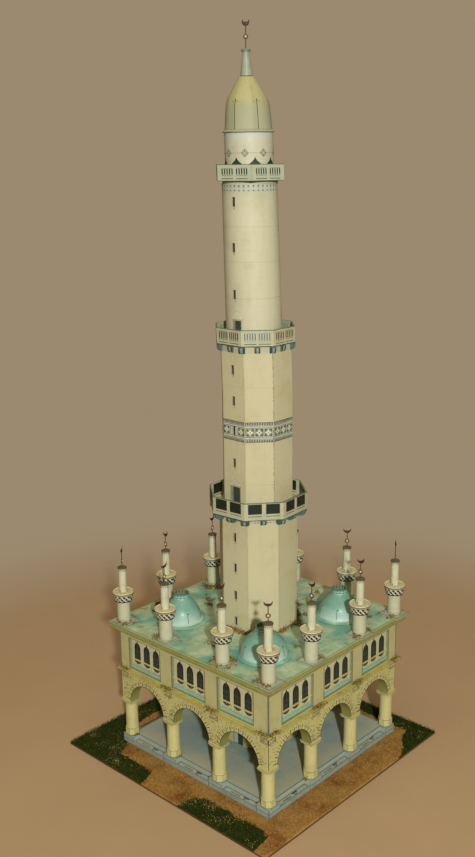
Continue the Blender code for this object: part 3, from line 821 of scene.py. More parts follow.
def makePlinth():
    blue = cardMaterial("plinth_card", plinth["colour"], plinth["stain"], stained=0.45, size=9.0, mottle=0.25,
                        runs=(2.0, 0.2, (96, 112, 118)))
    setFinish("plinth_step", blue)
    setFinish("plinth_floor", floorMaterial())
    edge, step = spanOf("plinth_step")[1][[0, 2]]
    floorTop = spanOf("plinth_floor")[1][2]
    columns = plinth["columns"]
    half, long, wide = plinth["pedestal"], plinth["patchLong"], plinth["patchWide"]
    parts = []
    for index in range(4):
        angle = (index - 1) * math.pi / 2
        low = levelFace(step, angle + math.pi / 2)
        for left, right in zip(columns, columns[1:]):
            bay = (left + half + 0.5, right - half - 0.5, plinth["borderIn"] - edge, columns[0])
            middle, across = (left + right) / 2, (bay[2] + bay[3]) / 2
            worn = [(middle + x, middle + x + long / 2, across - 0.5, across + 0.3)
                    for x in (-7.6, -5.2, -3.0)]
            dark = [(middle + 1.0, middle + 1.0 + long, across + 0.3, across + wide),
                    (middle + 1.6, middle + 3.4, across - 0.9, across - 0.4)]
            parts += plateSets(low, [([bay], 0.03, 4), (frameLines(bay, plinth["borderWidth"]), 0.05, 0),
                                     (worn, 0.06, 2), (dark, 0.06, 1)])
        front = flatFace(angle, edge)
        for middle in columns:
            bound = (max(middle - half, -edge), min(middle + half, edge), step + 0.05, floorTop - 0.1)
            parts.append(plates(front, frameLines(bound, 0.14), 0.05))
        joints = [(middle - half - 0.12, middle - half + 0.12, 1.9, step) for middle in columns[1:]]
        parts += plateSets(front, [
            ([(-edge, -edge + 0.22, 1.9, floorTop - 0.1), (edge - 0.22, edge, 1.9, floorTop - 0.1)], 0.06, 0),
            ([(-edge, edge, 1.9, 2.15)], 0.05, 3), (joints, 0.05, 1)])
    teal = inkMaterial("teal_line_ink", (78, 108, 112))
    moss = inkMaterial("moss_patch_ink", (112, 112, 58))
    panel = inkMaterial("step_panel_ink", (168, 172, 150))
    makePiece("plinth_print", parts, [teal, inkDark, moss, inkGrey, panel])


makePlinth()
print("stage: plinth")

# Columns

column = {
    "outer": 52.9, "inner": 17.85, "shaft": 3.68, "sleeve": 3.88, "sleeveTall": 4.2, "impost": 4.1,
    "thick": 1.0, "colour": (200, 194, 134), "stain": (168, 154, 90),
}


def columnPlaces():
    for index, side in enumerate(sides):
        for number, along in enumerate((-column["outer"], -column["inner"], column["inner"]), start=1):
            yield f"column_{side}_{number}", onSide(index, along, column["outer"])


def makeColumns():
    yellow = cardMaterial("column_card", column["colour"], column["stain"], stained=0.4, size=9.0, rough=0.42,
                          gloss=0.45, seed=2.0, runs=(1.6, 0.25, (150, 140, 84)))
    low, high = spanOf("column_front_1")
    foot, top = low[2], high[2]
    shaft, sleeve, impost = column["shaft"], column["sleeve"], column["impost"]
    sleeveTop, plate = foot + column["sleeveTall"], top - column["thick"]
    outline = roundOutline(32)
    for name, place in columnPlaces():
        parts = [
            lofted(octagon, [(sleeve, foot), (sleeve, sleeveTop - 0.1), (sleeve - 0.1, sleeveTop)], place),
            lofted(outline, [(shaft, foot + 1), (shaft - 0.05, (foot + plate) / 2),
                             (shaft - 0.1, plate + 0.2)], place),
            lofted(square, [(shaft + 0.05, plate - 0.5), (impost - 0.35, plate - 0.05),
                            (impost, plate + 0.35), (impost + 0.05, top)], place)]
        parts += hoopSets(octagon, [(sleeve, sleeveTop - 0.28, sleeveTop - 0.1, 0.04, 1),
                                    (sleeve, foot, foot + 0.14, 0.04, 2)], place)
        wide = sleeve * math.tan(math.pi / 8)
        for k in range(8):
            face = flatFace(k * tau / 8, sleeve, place)
            parts.append(plates(face, [(wide - 0.1, wide, foot, sleeveTop - 0.2)], 0.04, finish=1))
        parts += hoopSets(square, [(impost, top - 0.3, top - 0.18, 0.05, 2)], place)
        parts += hoopSets(outline, [(shaft - 0.1, plate - 0.75, plate - 0.6, 0.05, 2)], place)
        makePiece(name, parts, [yellow, inkDark, inkGreen], [name])


makeColumns()
print("stage: columns")

# Arcade

arcade = {
    "radius": 13.8, "pitch": 35.7, "steps": 40, "depth": 6.4,
    "dashes": 15, "dashIn": 0.6, "dashLong": 2.4, "dashWide": 0.42,
    "plaqueHalf": 2.9, "plaqueFoot": 44.4, "plaqueTop": 47.2, "cornerPlaque": 5.6,
    "colour": (192, 188, 126), "stain": (166, 154, 82), "soffit": (140, 140, 72), "inside": (172, 160, 100),
}


def arcLine(middle, radius, level, steps, start=math.pi, end=0.0):
    # Points round part of a circle, from the left over the top to the right
    angle = np.linspace(start, end, steps)
    return np.stack([middle + radius * np.cos(angle), level + radius * np.sin(angle)], -1)


def spokeMarks(middle, level, radius, angles, length, width):
    # Short straight marks that point at the middle of an arch: boxes turned to each angle
    c, s = np.cos(angles), np.sin(angles)
    corner = np.array([(0, -0.5), (1, -0.5), (1, 0.5), (0, 0.5)])
    away = radius + corner[None, :, 0] * np.broadcast_to(length, c.shape)[:, None]
    side = corner[None, :, 1] * width
    u = middle + away * c[:, None] - side * s[:, None]
    v = level + away * s[:, None] + side * c[:, None]
    return np.stack([u, v], -1)


def makeArcade():
    cream = cardMaterial("arcade_card", arcade["colour"], arcade["stain"], size=7.0, mottle=0.3, seed=3.0,
                         runs=(2.2, 0.25, (170, 150, 90)))
    olive = cardMaterial("soffit_card", arcade["soffit"], (120, 112, 56), stained=0.4, size=8.0)
    inside = cardMaterial("arcade_inside_card", arcade["inside"], (130, 112, 62), stained=0.4, size=10.0,
                          rough=0.6)
    plaque = cardMaterial("plaque_card", (190, 186, 134), (140, 146, 104), size=2.5, mottle=0.3)
    finishes = [cream, inkDark, olive, inside, inkGreen, inkBrown, plaque, pierFoot]
    low, high = spanOf("arcade_front")
    wall, foot, top = high[0], low[2], high[2]
    radius, pitch = arcade["radius"], arcade["pitch"]
    middles = np.array([-1, 0, 1]) * pitch
    # Foot line of the wall: along the piers and over the arches; the wall is carried along it
    arcs = [arcLine(middle, radius, foot, arcade["steps"] + 1) for middle in middles]
    line = np.concatenate([[(-wall, foot)], *arcs, [(wall, foot)]])
    ends = np.zeros((len(line), 1))
    ends[0], ends[-1] = 1, -1
    w = np.array([-arcade["depth"], -arcade["depth"], 0.0, 0.0])
    u = line[:, :1] - ends * w  # mitred ends
    v = np.where([0, 1, 1, 0], top, line[:, 1:])
    source = np.random.default_rng(21)
    for index, side in enumerate(sides):
        place = facade(index, wall)
        parts = [gridPart(place(u, v, w), around=True, caps=True, finish=np.array([[3, 3, 0, 2]]))]
        start, count = radius + arcade["dashIn"], arcade["dashes"]
        for middle in middles:
            parts.append(ribbon(place, arcLine(middle, radius, foot, 41),
                                arcLine(middle, radius + 0.3, foot, 41), 0.05, finish=1))
            angles = np.radians(np.linspace(8, 172, count)) + source.normal(0, 0.012, count)
            between = (angles[1:] + angles[:-1]) / 2
            for at, out, long, wide, ink in ((angles, 0.0, arcade["dashLong"], arcade["dashWide"], 1),
                                             (between, 1.2, 0.7, 0.5, 4), (between, 3.0, 0.35, 0.7, 5)):
                marks = spokeMarks(middle, foot, start + out, at, long, wide)
                parts.append(cutPlates(place, marks, 0.05, finish=ink))
        # Plaques: frames with generic upright marks, one over each pier and half ones at the corners
        corner = arcade["cornerPlaque"] / 2
        spots = [(-pitch / 2, arcade["plaqueHalf"]), (pitch / 2, arcade["plaqueHalf"]),
                 (-wall + corner, corner), (wall - corner, corner)]
        for middle, half in spots:
            box = (middle - half, middle + half, arcade["plaqueFoot"], arcade["plaqueTop"])
            marks = np.arange(box[0] + 0.7, box[1] - 0.5, 0.62)
            tall = source.uniform(0.5, 1.7, len(marks))
            lift = box[2] + source.uniform(0.35, 0.8, len(marks))
            strokes = np.stack([marks, marks + 0.3, lift, lift + tall], -1)
            parts += plateSets(place, [
                ([box], 0.04, 6), (frameLines(box, 0.22), 0.08, 1), (strokes, 0.08, 4)])
        # Little sprigs scattered over the piers and spandrels
        x, y = source.uniform(-wall + 1, wall - 1, 240), source.uniform(foot + 1, top - 0.8, 240)
        away = np.min(np.hypot(x[:, None] - middles[None], y[:, None] - foot), axis=1)
        keep = (away > radius + 4.6) | ((away > radius + 1.2) & (y < foot + 9))
        x, y = x[keep], y[keep]
        sprig = np.array([(-0.6, -0.12), (0.0, -0.24), (0.65, 0.12), (0.0, 0.26)])
        spin = source.uniform(0, tau, len(x))
        c, s = np.cos(spin)[:, None], np.sin(spin)[:, None]
        outline = np.stack([x[:, None] + sprig[:, 0] * c - sprig[:, 1] * s,
                            y[:, None] + sprig[:, 0] * s + sprig[:, 1] * c], -1)
        parts += [cutPlates(place, outline[first::2], 0.05, finish=5 - first) for first in (0, 1)]
        # Moulded foot of each pier, corner arris line, and a shade line under the ledge
        half = pitch / 2 - radius
        for middle in (-pitch / 2, pitch / 2):
            parts += plateSets(place, [
                ([(middle - half - 0.2, middle + half + 0.2, foot, foot + 0.9)], 0.35, 7),
                ([(middle - half, middle + half, foot + 0.95, foot + 1.1)], 0.06, 1)])
        pier = wall - pitch - radius
        parts += plateSets(place, [
            ([(-wall - 0.1, -wall + pier + 0.1, foot, foot + 0.9)], 0.35, 7),
            ([(wall - pier - 0.1, wall + 0.1, foot, foot + 0.9)], 0.35, 7),
            ([(-wall, -wall + 0.16, foot, top), (wall - 0.16, wall, foot, top)], 0.04, 1),
            ([(-wall, wall, top - 0.25, top - 0.1)], 0.05, 4)])
        name = f"arcade_{side}"
        makePiece(name, parts, finishes, [name])


pierFoot = cardMaterial("pier_foot_card", (200, 192, 130), (160, 152, 86), mottle=0.3)
makeArcade()
print("stage: arcade")

# Gallery ledge, with its moss

ledge = {"colour": (196, 186, 98), "stain": (136, 112, 56), "stained": 0.5}


def mossPart(centres, reach, count, size, source, rise=0.6):
    # Loose flock in heaps: grains and short fibres scattered round each centre, fewer further out
    centres = np.asarray(centres, float)
    pick = np.repeat(np.arange(len(centres)), count)
    off = source.normal(0, 1, (len(pick), 3)) * np.asarray(reach)
    places = centres[pick] + off
    places[:, 2] = centres[pick][:, 2] + np.abs(source.normal(0, rise, len(pick)))
    sizes = source.uniform(0.5, 1.2, len(pick)) * size
    return grainPart(places, sizes, source.uniform(0, 1, len(pick)), source)


mossFlock = flockMaterial("rusty_moss", 5.0, 0.95, (
    (0.2, (84, 60, 26)), (0.4, (130, 98, 46)), (0.55, (160, 136, 74)), (0.68, (112, 110, 58)),
    (0.85, (186, 172, 120))))


def makeGallery():
    ochre = cardMaterial("ledge_card", ledge["colour"], ledge["stain"], stained=ledge["stained"],
                         size=8.0, mottle=0.35, rough=0.55, seed=6.0)
    setFinish("gallery_slab", ochre)
    low, high = spanOf("gallery_slab")
    source = np.random.default_rng(31)
    parts = []
    for index in range(4):
        place = facade(index, high[0])
        parts += plateSets(place, [
            ([(-high[0], high[0], high[2] - 0.32, high[2] - 0.14)], 0.05, 1),
            ([(-high[0], high[0], low[2] + 0.12, low[2] + 0.26)], 0.05, 2)])
    makePiece("gallery_lines", parts, [ochre, inkGreen, inkBrown])
    heaps = []
    for index in range(4):
        for along in (-17.3, 17.3):
            heaps += [(*onSide(index, along + shift, high[0] - 0.9), high[2]) for shift in (-2.2, 0.0, 2.0)]
        heaps += [(*onSide(index, along, high[0] - 1.0), high[2]) for along in (-55.0, -51.5, 52.0, 55.5)]
    moss = mossPart(heaps, (1.5, 1.3, 0.3), 90, 0.34, source, 0.6)
    makePiece("gallery_moss", [moss], [mossFlock], sharp=20.0)
    spots = ((0, -48.4), (0, -13.6), (1, -22.2), (1, 22.0), (2, -13.4), (3, 48.0), (3, 22.2))
    feet = [(*onSide(*spot, 53.4), spanOf("plinth_floor")[1][2]) for spot in spots]
    moss = mossPart(feet, (0.5, 0.9, 0.1), 60, 0.3, source, 0.6)
    makePiece("column_moss", [moss], [mossFlock], sharp=20.0)


makeGallery()
print("stage: gallery")

# Upper storey

storey = {
    "recess": 12.6, "pitch": 34.7, "foot": 51.4, "head": 70.4, "depth": 1.6, "thick": 2.4,
    "slide": (-1.2, 1.8, 0.0, 0.0),  # how far the bays of each side stand off their even places
    "window": 2.5, "spacing": 7.7, "sill": 57.9, "shoulder": 64.2, "apex": 69.6,
    "rail": (57.2, 57.8), "railProud": 0.5, "arcTop": 57.15, "arcFoot": 55.0, "arcHalf": 2.7,
    "band": (51.7, 53.4),
    "colour": (186, 182, 130), "stain": (160, 152, 92), "reveal": (140, 142, 104),
    "glass": (20, 27, 24), "bar": (86, 98, 88), "bandColour": (146, 190, 160),
}


def windowOutline(half, sill, shoulder, apex):
    # Right half from the sill up: upright jamb, a quarter ellipse in, then a hollow curve to the tip
    swing = np.linspace(0, math.pi / 2, 7)[:-1]
    tip = apex - 1.9
    bulge = np.stack([half * (0.3 + 0.7 * np.cos(swing)), shoulder + (tip - shoulder) * np.sin(swing)], -1)
    point = np.array([(half * 0.26, tip), (half * 0.12, tip + 0.7), (0.0, apex)])
    right = np.concatenate([[(half, sill)], bulge, point])
    left = right[:-1][::-1] * (-1, 1)
    return np.concatenate([right, left])


def makeUpperStorey():
    cream = cardMaterial("storey_card", storey["colour"], storey["stain"], stained=0.45, size=10.0,
                         mottle=0.16, rough=0.48, seed=5.0, runs=(2.4, 0.3, (176, 160, 98)))
    pale = cardMaterial("recess_card", (194, 192, 154), (168, 166, 116), stained=0.4, size=6.0, mottle=0.14)
    # The recess sides, heads and sills, and a strip left of each recess, take a darker card: painted shade
    reveal = cardMaterial("reveal_card", storey["reveal"], (96, 112, 88))
    # Dark window print with paler fine flecks: the flecks are painted glints
    glass = cardMaterial("window_print_and_glints", storey["glass"], (52, 66, 60), stained=0.6, size=1.2, mottle=0.5,
                         rough=0.35)
    band = cardMaterial("turquoise_band_card", storey["bandColour"], (88, 160, 136), size=4.0, rough=0.45)
    bar = inkMaterial("window_bar_ink", storey["bar"], mottle=0.9)
    finishes = [cream, pale, reveal, glass, bar, band, inkDark, inkGreen, inkGrey, pierFoot]
    low, high = spanOf("upper_wall_front")
    wall, foot, top = high[0], low[2], high[2]
    half, depth, gap = storey["recess"], storey["depth"], storey["spacing"]
    bandFoot, bandTop = storey["band"]
    railFoot, railTop = storey["rail"]
    arch = windowOutline(storey["window"], storey["sill"], storey["shoulder"], storey["apex"])
    for index, side in enumerate(sides):
        place, deep = facade(index, wall), facade(index, wall - depth)
        middles = np.array([-1, 0, 1]) * storey["pitch"] + storey["slide"][index]
        # Level section of the wall with its recesses, as along and proud
        section = [(-wall, 0.0)]
        for middle in middles:
            left, right = middle - half, middle + half
            section += [(left, 0.0), (left, -depth), (right, -depth), (right, 0.0)]
        section = np.array(section + [(wall, 0.0)])
        parts = [recessedWall(place, section, wall, foot, top, storey["thick"])]
        for middle in middles:
            left, right, sill, head = middle - half, middle + half, storey["foot"], storey["head"]
            parts += plateSets(place, [
                ([(left - 0.16, left, sill - 0.1, head + 0.2), (right, right + 0.16, sill - 0.1, head + 0.2),
                  (left, right, head, head + 0.2)], 0.05, 7),
                # strip of painted shade left of the recess
                ([(left - 0.8, left - 0.16, sill, head)], 0.04, 2)])
            parts += plateSets(deep, [
                (frameLines((left + 0.5, right - 0.5, 54.2, head - 0.5), 0.14), 0.05, 8),
                ([(left, right, bandFoot, bandTop)], 0.12, 5),
                ([(left, right, bandTop, bandTop + 0.14)], 0.1, 7)])
            for centre in (middle - gap, middle, middle + gap):
                parts.append(cutPlates(deep, (arch + (centre, 0.0))[None], 0.06, finish=3))
                parts.append(windowBars(deep, centre))
                parts += arcMarks(deep, centre)
            posts = [middle + k * gap for k in (-1.5, -0.5, 0.5, 1.5)]
            parts += plateSets(deep, [
                ([(left, right, railFoot, railTop)], storey["railProud"], 9),
                ([(left, right, railFoot - 0.16, railFoot)], 0.1, 7),
                ([(x - 0.3, x + 0.3, bandTop, railFoot) for x in posts], 0.25, 0)])
        # Corner arris lines, a grey strip of painted shade beside each corner, and a line under the top
        parts += plateSets(place, [
            ([(-wall, -wall + 0.12, foot, top), (wall - 0.12, wall, foot, top)], 0.05, 7),
            ([(-wall + 0.2, -wall + 0.75, foot, top), (wall - 0.75, wall - 0.2, foot, top)], 0.04, 8),
            ([(-wall, wall, top - 0.35, top - 0.2)], 0.05, 8)])
        name = f"upper_wall_{side}"
        makePiece(name, parts, finishes, [name])


def recessedWall(place, section, wall, foot, top, thick):
    # Closed wall: the plain section below and above, the recessed one between, the back behind
    levels = np.array([foot, storey["foot"], storey["foot"], storey["head"], storey["head"], top])
    back = np.array([(wall - thick, -thick), (-wall + thick, -thick)])
    flat, cut = (np.concatenate([section * (1, share), back]) for share in (0, 1))
    loops = np.stack([flat, flat, cut, cut, flat, flat])
    kinds = np.zeros((5, loops.shape[1]), int)
    # the recess sides, head and sill take the darker card (finish 2): painted shade
    for k in range(3):
        kinds[:, 4 * k + 1] = kinds[:, 4 * k + 3] = 2
        kinds[2, 4 * k + 2] = 1
        kinds[1, 4 * k + 2] = kinds[3, 4 * k + 2] = 2
    v = np.broadcast_to(levels[:, None], loops.shape[:2])
    return gridPart(place(loops[..., 0], v, loops[..., 1]), around=True, caps=True, finish=kinds)


def windowBars(deep, centre):
    # Thin pale bars: three upright, and two across
    half, sill = storey["window"] - 0.35, storey["sill"]
    boxes = [(centre - 0.1, centre + 0.1, sill + 0.2, storey["apex"] - 2.2)]
    boxes += [(centre + x - 0.07, centre + x + 0.07, sill + 0.2, storey["shoulder"] + 0.8)
              for x in (-1.2, 1.2)]
    boxes += [(centre - half, centre + half, level, level + 0.16) for level in (sill + 2.2, sill + 5.0)]
    return plates(deep, boxes, 0.1, finish=4)


def arcMarks(deep, centre):
    # Printed half round that hangs from the rail under each window, crossed by thin grey uprights
    half, top, foot = storey["arcHalf"], storey["arcTop"], storey["arcFoot"]
    swing = np.linspace(-math.pi, 0, 13)
    bowl = np.stack([centre + half * np.cos(swing), top + (top - foot) * np.sin(swing)], -1)
    lines = [(centre + x - 0.11, centre + x + 0.11, foot + 0.5, top) for x in (-1.2, 0.0, 1.2)]
    return [cutPlates(deep, bowl[None], 0.06, finish=6), plates(deep, lines, 0.1, finish=8)]


makeUpperStorey()
print("stage: upper storey")

# Cornice and roof

roof = {
    "top": 78.0, "cornice": (178, 174, 94), "corniceStain": (146, 138, 68), "patina": (156, 178, 140),
    "teal": (98, 160, 142), "rust": (128, 110, 64), "line": (70, 92, 76), "lineAt": 59.4,
    # rusty spots: x, y and reach
    "rusty": ((-54, -50, 14), (-24, -52, 8), (44, -50, 10), (24, 6, 12), (-20, 14, 12)),
}

# The corner domes stand on the roof, and its patina deepens round them
dome = {
    "out": 32.5, "seams": 6, "seamTop": 85.4, "seamHalf": 0.14,
    "bell": ((14.6, 78.3), (14.6, 78.45), (13.4, 78.75), (12.6, 79.3), (12.1, 80.2), (11.85, 81.6),
             (11.6, 83.1), (11.25, 84.4), (10.7, 85.6), (9.95, 86.8), (8.9, 88.0), (7.6, 89.2), (6.35, 90.3),
             (5.25, 91.2), (4.7, 91.8), (4.5, 92.4), (4.45, 94.9), (3.8, 94.9), (3.8, 92.6)),
    "turns": (-25, -50, -60, 10),
    "swell": (0.9, 1.05, 1.0, 0.95), "shift": ((1.5, 1.4), (0, 0), (0, 0.8), (0, 0)),
    "colour": (118, 162, 142), "stain": (80, 136, 126), "highlight": (196, 218, 208),
}


def roofMaterial():
    # Verdigris: pale green, teal clouds, rust patches and a thin line near the edge
    material, tree, shader, place = newMaterial("roof_patina")
    # Brush strokes run along one diagonal: the place is turned and squeezed before the noise
    turned = addNode(tree, "VectorRotate", {"Vector": place, "Angle": 0.7}, rotation_type="Z_AXIS").outputs[0]
    stroke = addNode(tree, "VectorMath", {0: turned, 1: (1.0, 0.72, 1.0)}, operation="MULTIPLY").outputs[0]
    wide = noise(tree, stroke, 7.0, 6.0, 0.7)
    teal = noise(tree, vectors(tree, "ADD", stroke, (40.0, 9.0, 0.0)), 16.0, 6.0, 0.62)
    rust = noise(tree, vectors(tree, "ADD", stroke, (7.0, 70.0, 0.0)), 6.5, 6.0, 0.72)
    colour = mixed(tree, smooth(tree, wide, 0.38, 0.66), tone(*roof["patina"]), tone(186, 202, 170))
    # More teal round each dome: the place is folded into one corner, and measured from the dome there
    corner = addNode(tree, "VectorMath", {0: place}, operation="ABSOLUTE").outputs[0]
    near = addNode(tree, "VectorMath", {0: corner, 1: (dome["out"], dome["out"], roof["top"])},
                   operation="DISTANCE").outputs[1]
    teal = sums(tree, "ADD", teal, smooth(tree, near, 13.0, 21.0, 0.12, 0.0))
    colour = washed(tree, colour, teal, 0.43, 0.68, roof["teal"], 0.0, 0.95)
    for x, y, reach in roof["rusty"]:
        off = addNode(tree, "VectorMath", {0: place, 1: (x, y, roof["top"])}, operation="DISTANCE").outputs[1]
        rust = sums(tree, "ADD", rust, smooth(tree, off, 0.2 * reach, reach, 0.09, 0.0))
    colour = washed(tree, colour, rust, 0.56, 0.7, roof["rust"], 0.0, 0.75)
    way = fillGroup(tree, squareWay, {"Place": place})["Distance"]
    off = sums(tree, "ABSOLUTE", sums(tree, "SUBTRACT", way, roof["lineAt"]))
    colour = inked(tree, colour, smooth(tree, off, 0.08, 0.3, 1.0, 0.0), 0.75, roof["line"])
    outer = smooth(tree, way, roof["lineAt"] + 0.1, roof["lineAt"] + 0.3)
    colour = inked(tree, colour, outer, 0.7, (168, 168, 96))
    finishSurface(tree, shader, place, colour, 0.62, gloss=0.25, bump=0.2, grain=0.4)
    return material


def makeRoof():
    golden = cardMaterial("cornice_card", roof["cornice"], roof["corniceStain"], stained=0.6, size=9.0,
                          mottle=0.3, rough=0.45, seed=8.0)
    setFinish("cornice", golden)
    setFinish("roof", roofMaterial())
    parts = []
    low, high = spanOf("cornice")
    under, over = spanOf("roof")
    wide, reach = high[0], over[0]
    for index in range(4):
        lines = [(-wide, wide, low[2] + lift, low[2] + lift + 0.18) for lift in (0.02, 0.55, 1.05, 1.5)]
        parts.append(plates(facade(index, wide), lines, 0.05, finish=1))
        levels = (under[2] + 0.35, over[2] - 0.55, over[2] - 0.17)
        parts += plateSets(facade(index, reach), [
            ([(-reach, reach, level, level + 0.16) for level in levels], 0.05, 1),
            ([(-reach, reach, under[2], over[2] - 0.2)], 0.03, 2)])
    makePiece("cornice_lines", parts, [inkBrown, inkGreen, golden])


makeRoof()
print("stage: roof")

# Corner domes


def wallOf(profile):
    # Radius of a turned shape by its height, from the outside of its profile
    radius, height = np.array(profile, float).T
    rising = np.concatenate([[True], np.diff(height) > 0])
    return lambda level: np.interp(level, height[rising], radius[rising])


def upright(place, along, foot, top, half, proud=0.06, steps=8, finish=0):
    # Thin upright line that follows a curved wall
    level = np.linspace(foot, top, steps + 1)
    return ribbon(place, np.stack([np.full_like(level, along + half), level], -1),
                  np.stack([np.full_like(level, along - half), level], -1), proud, finish=finish)


def makeDomes():
    # Towards its foot the dome pales to the highlight colour: a painted highlight
    glossy = cardMaterial("dome_card", dome["colour"], dome["stain"], stained=0.55, size=5.0, mottle=0.3,
                          rough=0.42, gloss=0.5, bump=0.12, coat=0.08, runs=(2.5, 0.5, (86, 146, 136)),
                          rise=(88.0, 80.5, 0.6, dome["highlight"]))
    skirt = bpy.data.materials["roof_patina"]
    neck = cardMaterial("dome_neck_card", (120, 176, 164), (90, 140, 132), stained=0.4, size=2.0, rough=0.35,
                        gloss=0.5)
    opened = cardMaterial("dome_opening_card", (112, 132, 104), (84, 88, 60), size=2.0, mottle=0.3, rough=0.7)
    finishes = [glossy, skirt, neck, opened, inkDark, inkGreen, paperWhite]
    kinds = np.array([1, 1, 1] + [0] * 12 + [2, 3, 3])
    out, top, ring = dome["out"], dome["seamTop"], roundOutline(48)
    signs = {"front_left": (-1, -1), "front_right": (1, -1), "back_right": (1, 1), "back_left": (-1, 1)}
    each = zip(signs.items(), dome["turns"], dome["swell"], dome["shift"])
    for (name, (signX, signY)), turn, swell, shift in each:
        middle = (signX * out + shift[0], signY * out + shift[1])
        # Each was glued up by hand: its body is a little slimmer or fuller than the profile's
        bell = np.array(dome["bell"])
        body = np.interp(bell[:, 1], (78.7, 80.2, 87.0, 91.2), (0, 1, 1, 0))
        bell[:, 0] *= 1 + (swell - 1) * body
        wall = wallOf(bell[:17])
        parts = [lofted(roundOutline(64), bell, middle, kinds)]
        for k in range(dome["seams"]):
            face = roundFace(math.radians(turn + 60 * k), wall, middle)
            parts.append(upright(face, 0.0, 80.2, top, dome["seamHalf"], finish=5))
            parts.append(upright(face, 0.4, top - 0.3, top + 0.3, 0.45, steps=2, finish=5))
        parts += hoopSets(ring, [(4.5, 92.35, 92.5, 0.06, 6), (4.46, 93.5, 93.66, 0.06, 6),
                                 (4.45, 94.7, 94.86, 0.06, 4)], middle)
        for k in range(14):
            parts += plateSets(roundFace(k * tau / 14, 4.47, middle), [
                ([(-0.32, 0.32, 92.75, 93.3)], 0.06, 4),
                ([(0.5, 0.75, 93.8, 94.6), (-0.25, 0.0, 93.8, 94.5)], 0.06, 4)])
            inner = roundFace(k * tau / 14, 3.8, middle)
            parts.append(plates(inner, [(-0.2, 0.2, 93.0, 94.6)], 0.03, 0.07, finish=4))
        makePiece(f"dome_{name}", parts, finishes, [f"dome_{name}"])


makeDomes()
print("stage: domes")

# Turrets

turret = {
    "out": 54.4, "inner": 18.4, "card": 5.4, "cornerCard": 6.2, "foot": 78.3, "cap": 111.5,
    "column": ((3.75, 78.9), (3.7, 91.1), (4.85, 91.3), (5.05, 91.9), (5.35, 93.0), (5.65, 94.4),
               (5.85, 95.4), (6.0, 96.5), (5.8, 96.8), (5.5, 96.5), (2.25, 96.5), (2.2, 110.6),
               (2.6, 110.65), (2.6, 111.3), (2.2, 111.5)),
    # which way each crescent faces, and how far it leans in its own plane
    "turns": ((128, 0), (95, 15), (84, 10), (43, 0), (0, 22), (4, 18), (126, 5), (40, 0), (80, 8), (20, 0),
              (100, 0), (-8, 22)),
    # how far each stands off its even place, across and up the plan
    "shifts": ((0, 0), (-1.3, 0), (4.6, 0), (0.4, 0), (1.5, -3.2), (1.8, 2.0),
               (1.4, 0), (4.4, -1.4), (0, 0), (0, 0), (1.8, -1.4), (0, -2.2)),
    "lattice": 2.0, "latticeWidth": 0.4,
    "drum": (190, 191, 160), "drumStain": (176, 166, 132), "shaft": (204, 204, 174),
    "capColour": (92, 84, 60),
}
finial = {"wire": 0.28, "ringAt": 115.1, "ring": 1.35, "hole": 0.75, "moonAt": 122.3, "moon": 2.3,
          "horns": 12, "thick": 1.5}


def latticeMaterial(name, first, second, step, width, rimShade):
    # Slanting pale bars crossed by thinner ones, by the print map: dark between them, grey at the top as
    # painted shade under the rim
    material, tree, shader, place = newMaterial(name)
    split = splitOf(tree, addNode(tree, "UVMap", uv_map="print").outputs[0])
    bars = 0.0
    for operation, wide, part in (("ADD", step, 1.0), ("SUBTRACT", step, 0.32)):
        way = sums(tree, "MULTIPLY", sums(tree, operation, split[0], split[1]), 0.70711)
        ruled = fillGroup(tree, ruledLine, {"Place": place, "Value": way, "Step": wide, "Width": width})
        bar = smooth(tree, ruled["Distance"], width * part * 0.8, width * part * 1.15, 1.0, 0.0)
        bars = sums(tree, "MAXIMUM", bars, bar)
    colour = mixed(tree, bars, tone(*first), tone(*second))
    colour = washed(tree, colour, split[1], *rimShade, (150, 148, 122))
    finishSurface(tree, shader, place, colour, 0.4, gloss=0.45, bump=0.15)
    return material


def finialParts(values, foot, place, turn, finish, tilt=0.0):
    # Wire, ring, bead and crescent of one finial: the crescent thins towards its horns
    c, s = math.cos(turn), math.sin(turn)
    normal = (-s, c, 0.0)

    def upon(across, height):
        across, height = np.broadcast_arrays(np.asarray(across, float), np.asarray(height, float))
        return np.stack([place[0] + across * c, place[1] + across * s, height], -1)
    ringAt, moonAt = values["ringAt"], values["moonAt"]
    middle = (values["ring"] + values["hole"]) / 2
    parts = [tube(upon(0, span), values["wire"], normal, finish=finish[0])
             for span in ([foot, ringAt - middle], [ringAt + middle, moonAt - values["moon"] + 0.4])]
    angle = np.arange(24) * tau / 24
    parts.append(tube(upon(middle * np.cos(angle), ringAt + middle * np.sin(angle)),
                      (values["ring"] - values["hole"]) / 2, normal, closed=True, finish=finish[1]))
    share = np.linspace(-1, 1, 25)
    swing = -math.pi / 2 + math.radians(tilt) + share * (math.pi / 2 + math.radians(values["horns"]))
    half = values["thick"] / 2 * (1 - np.abs(share) ** 1.5) + 0.07
    away = values["moon"] - half
    parts.append(tube(upon(away * np.cos(swing), moonAt + away * np.sin(swing)), half, normal, flat=0.55,
                      finish=finish[2]))
    # A small bead in the ring's hole, pale as a painted highlight
    bead = lofted(roundOutline(12), [(0.1, -0.75), (0.5, -0.5), (0.7, 0.0), (0.5, 0.5), (0.1, 0.75)])
    bead["points"] = bead["points"] + (place[0], place[1], ringAt)
    bead["finish"] = [np.full_like(kind, finish[3]) for kind in bead["finish"]]
    return parts + [bead]


wireBrown = inkMaterial("wire_paint", (100, 82, 58), 0.5)
ringGold = inkMaterial("ring_paint", (92, 66, 40), 0.45)
moonRed = inkMaterial("crescent_paint", (74, 30, 18), 0.5)
# The bead's pale paint is a painted highlight in the ring's hole
beadHighlight = inkMaterial("bead_highlight_paint", (210, 190, 156), 0.5)


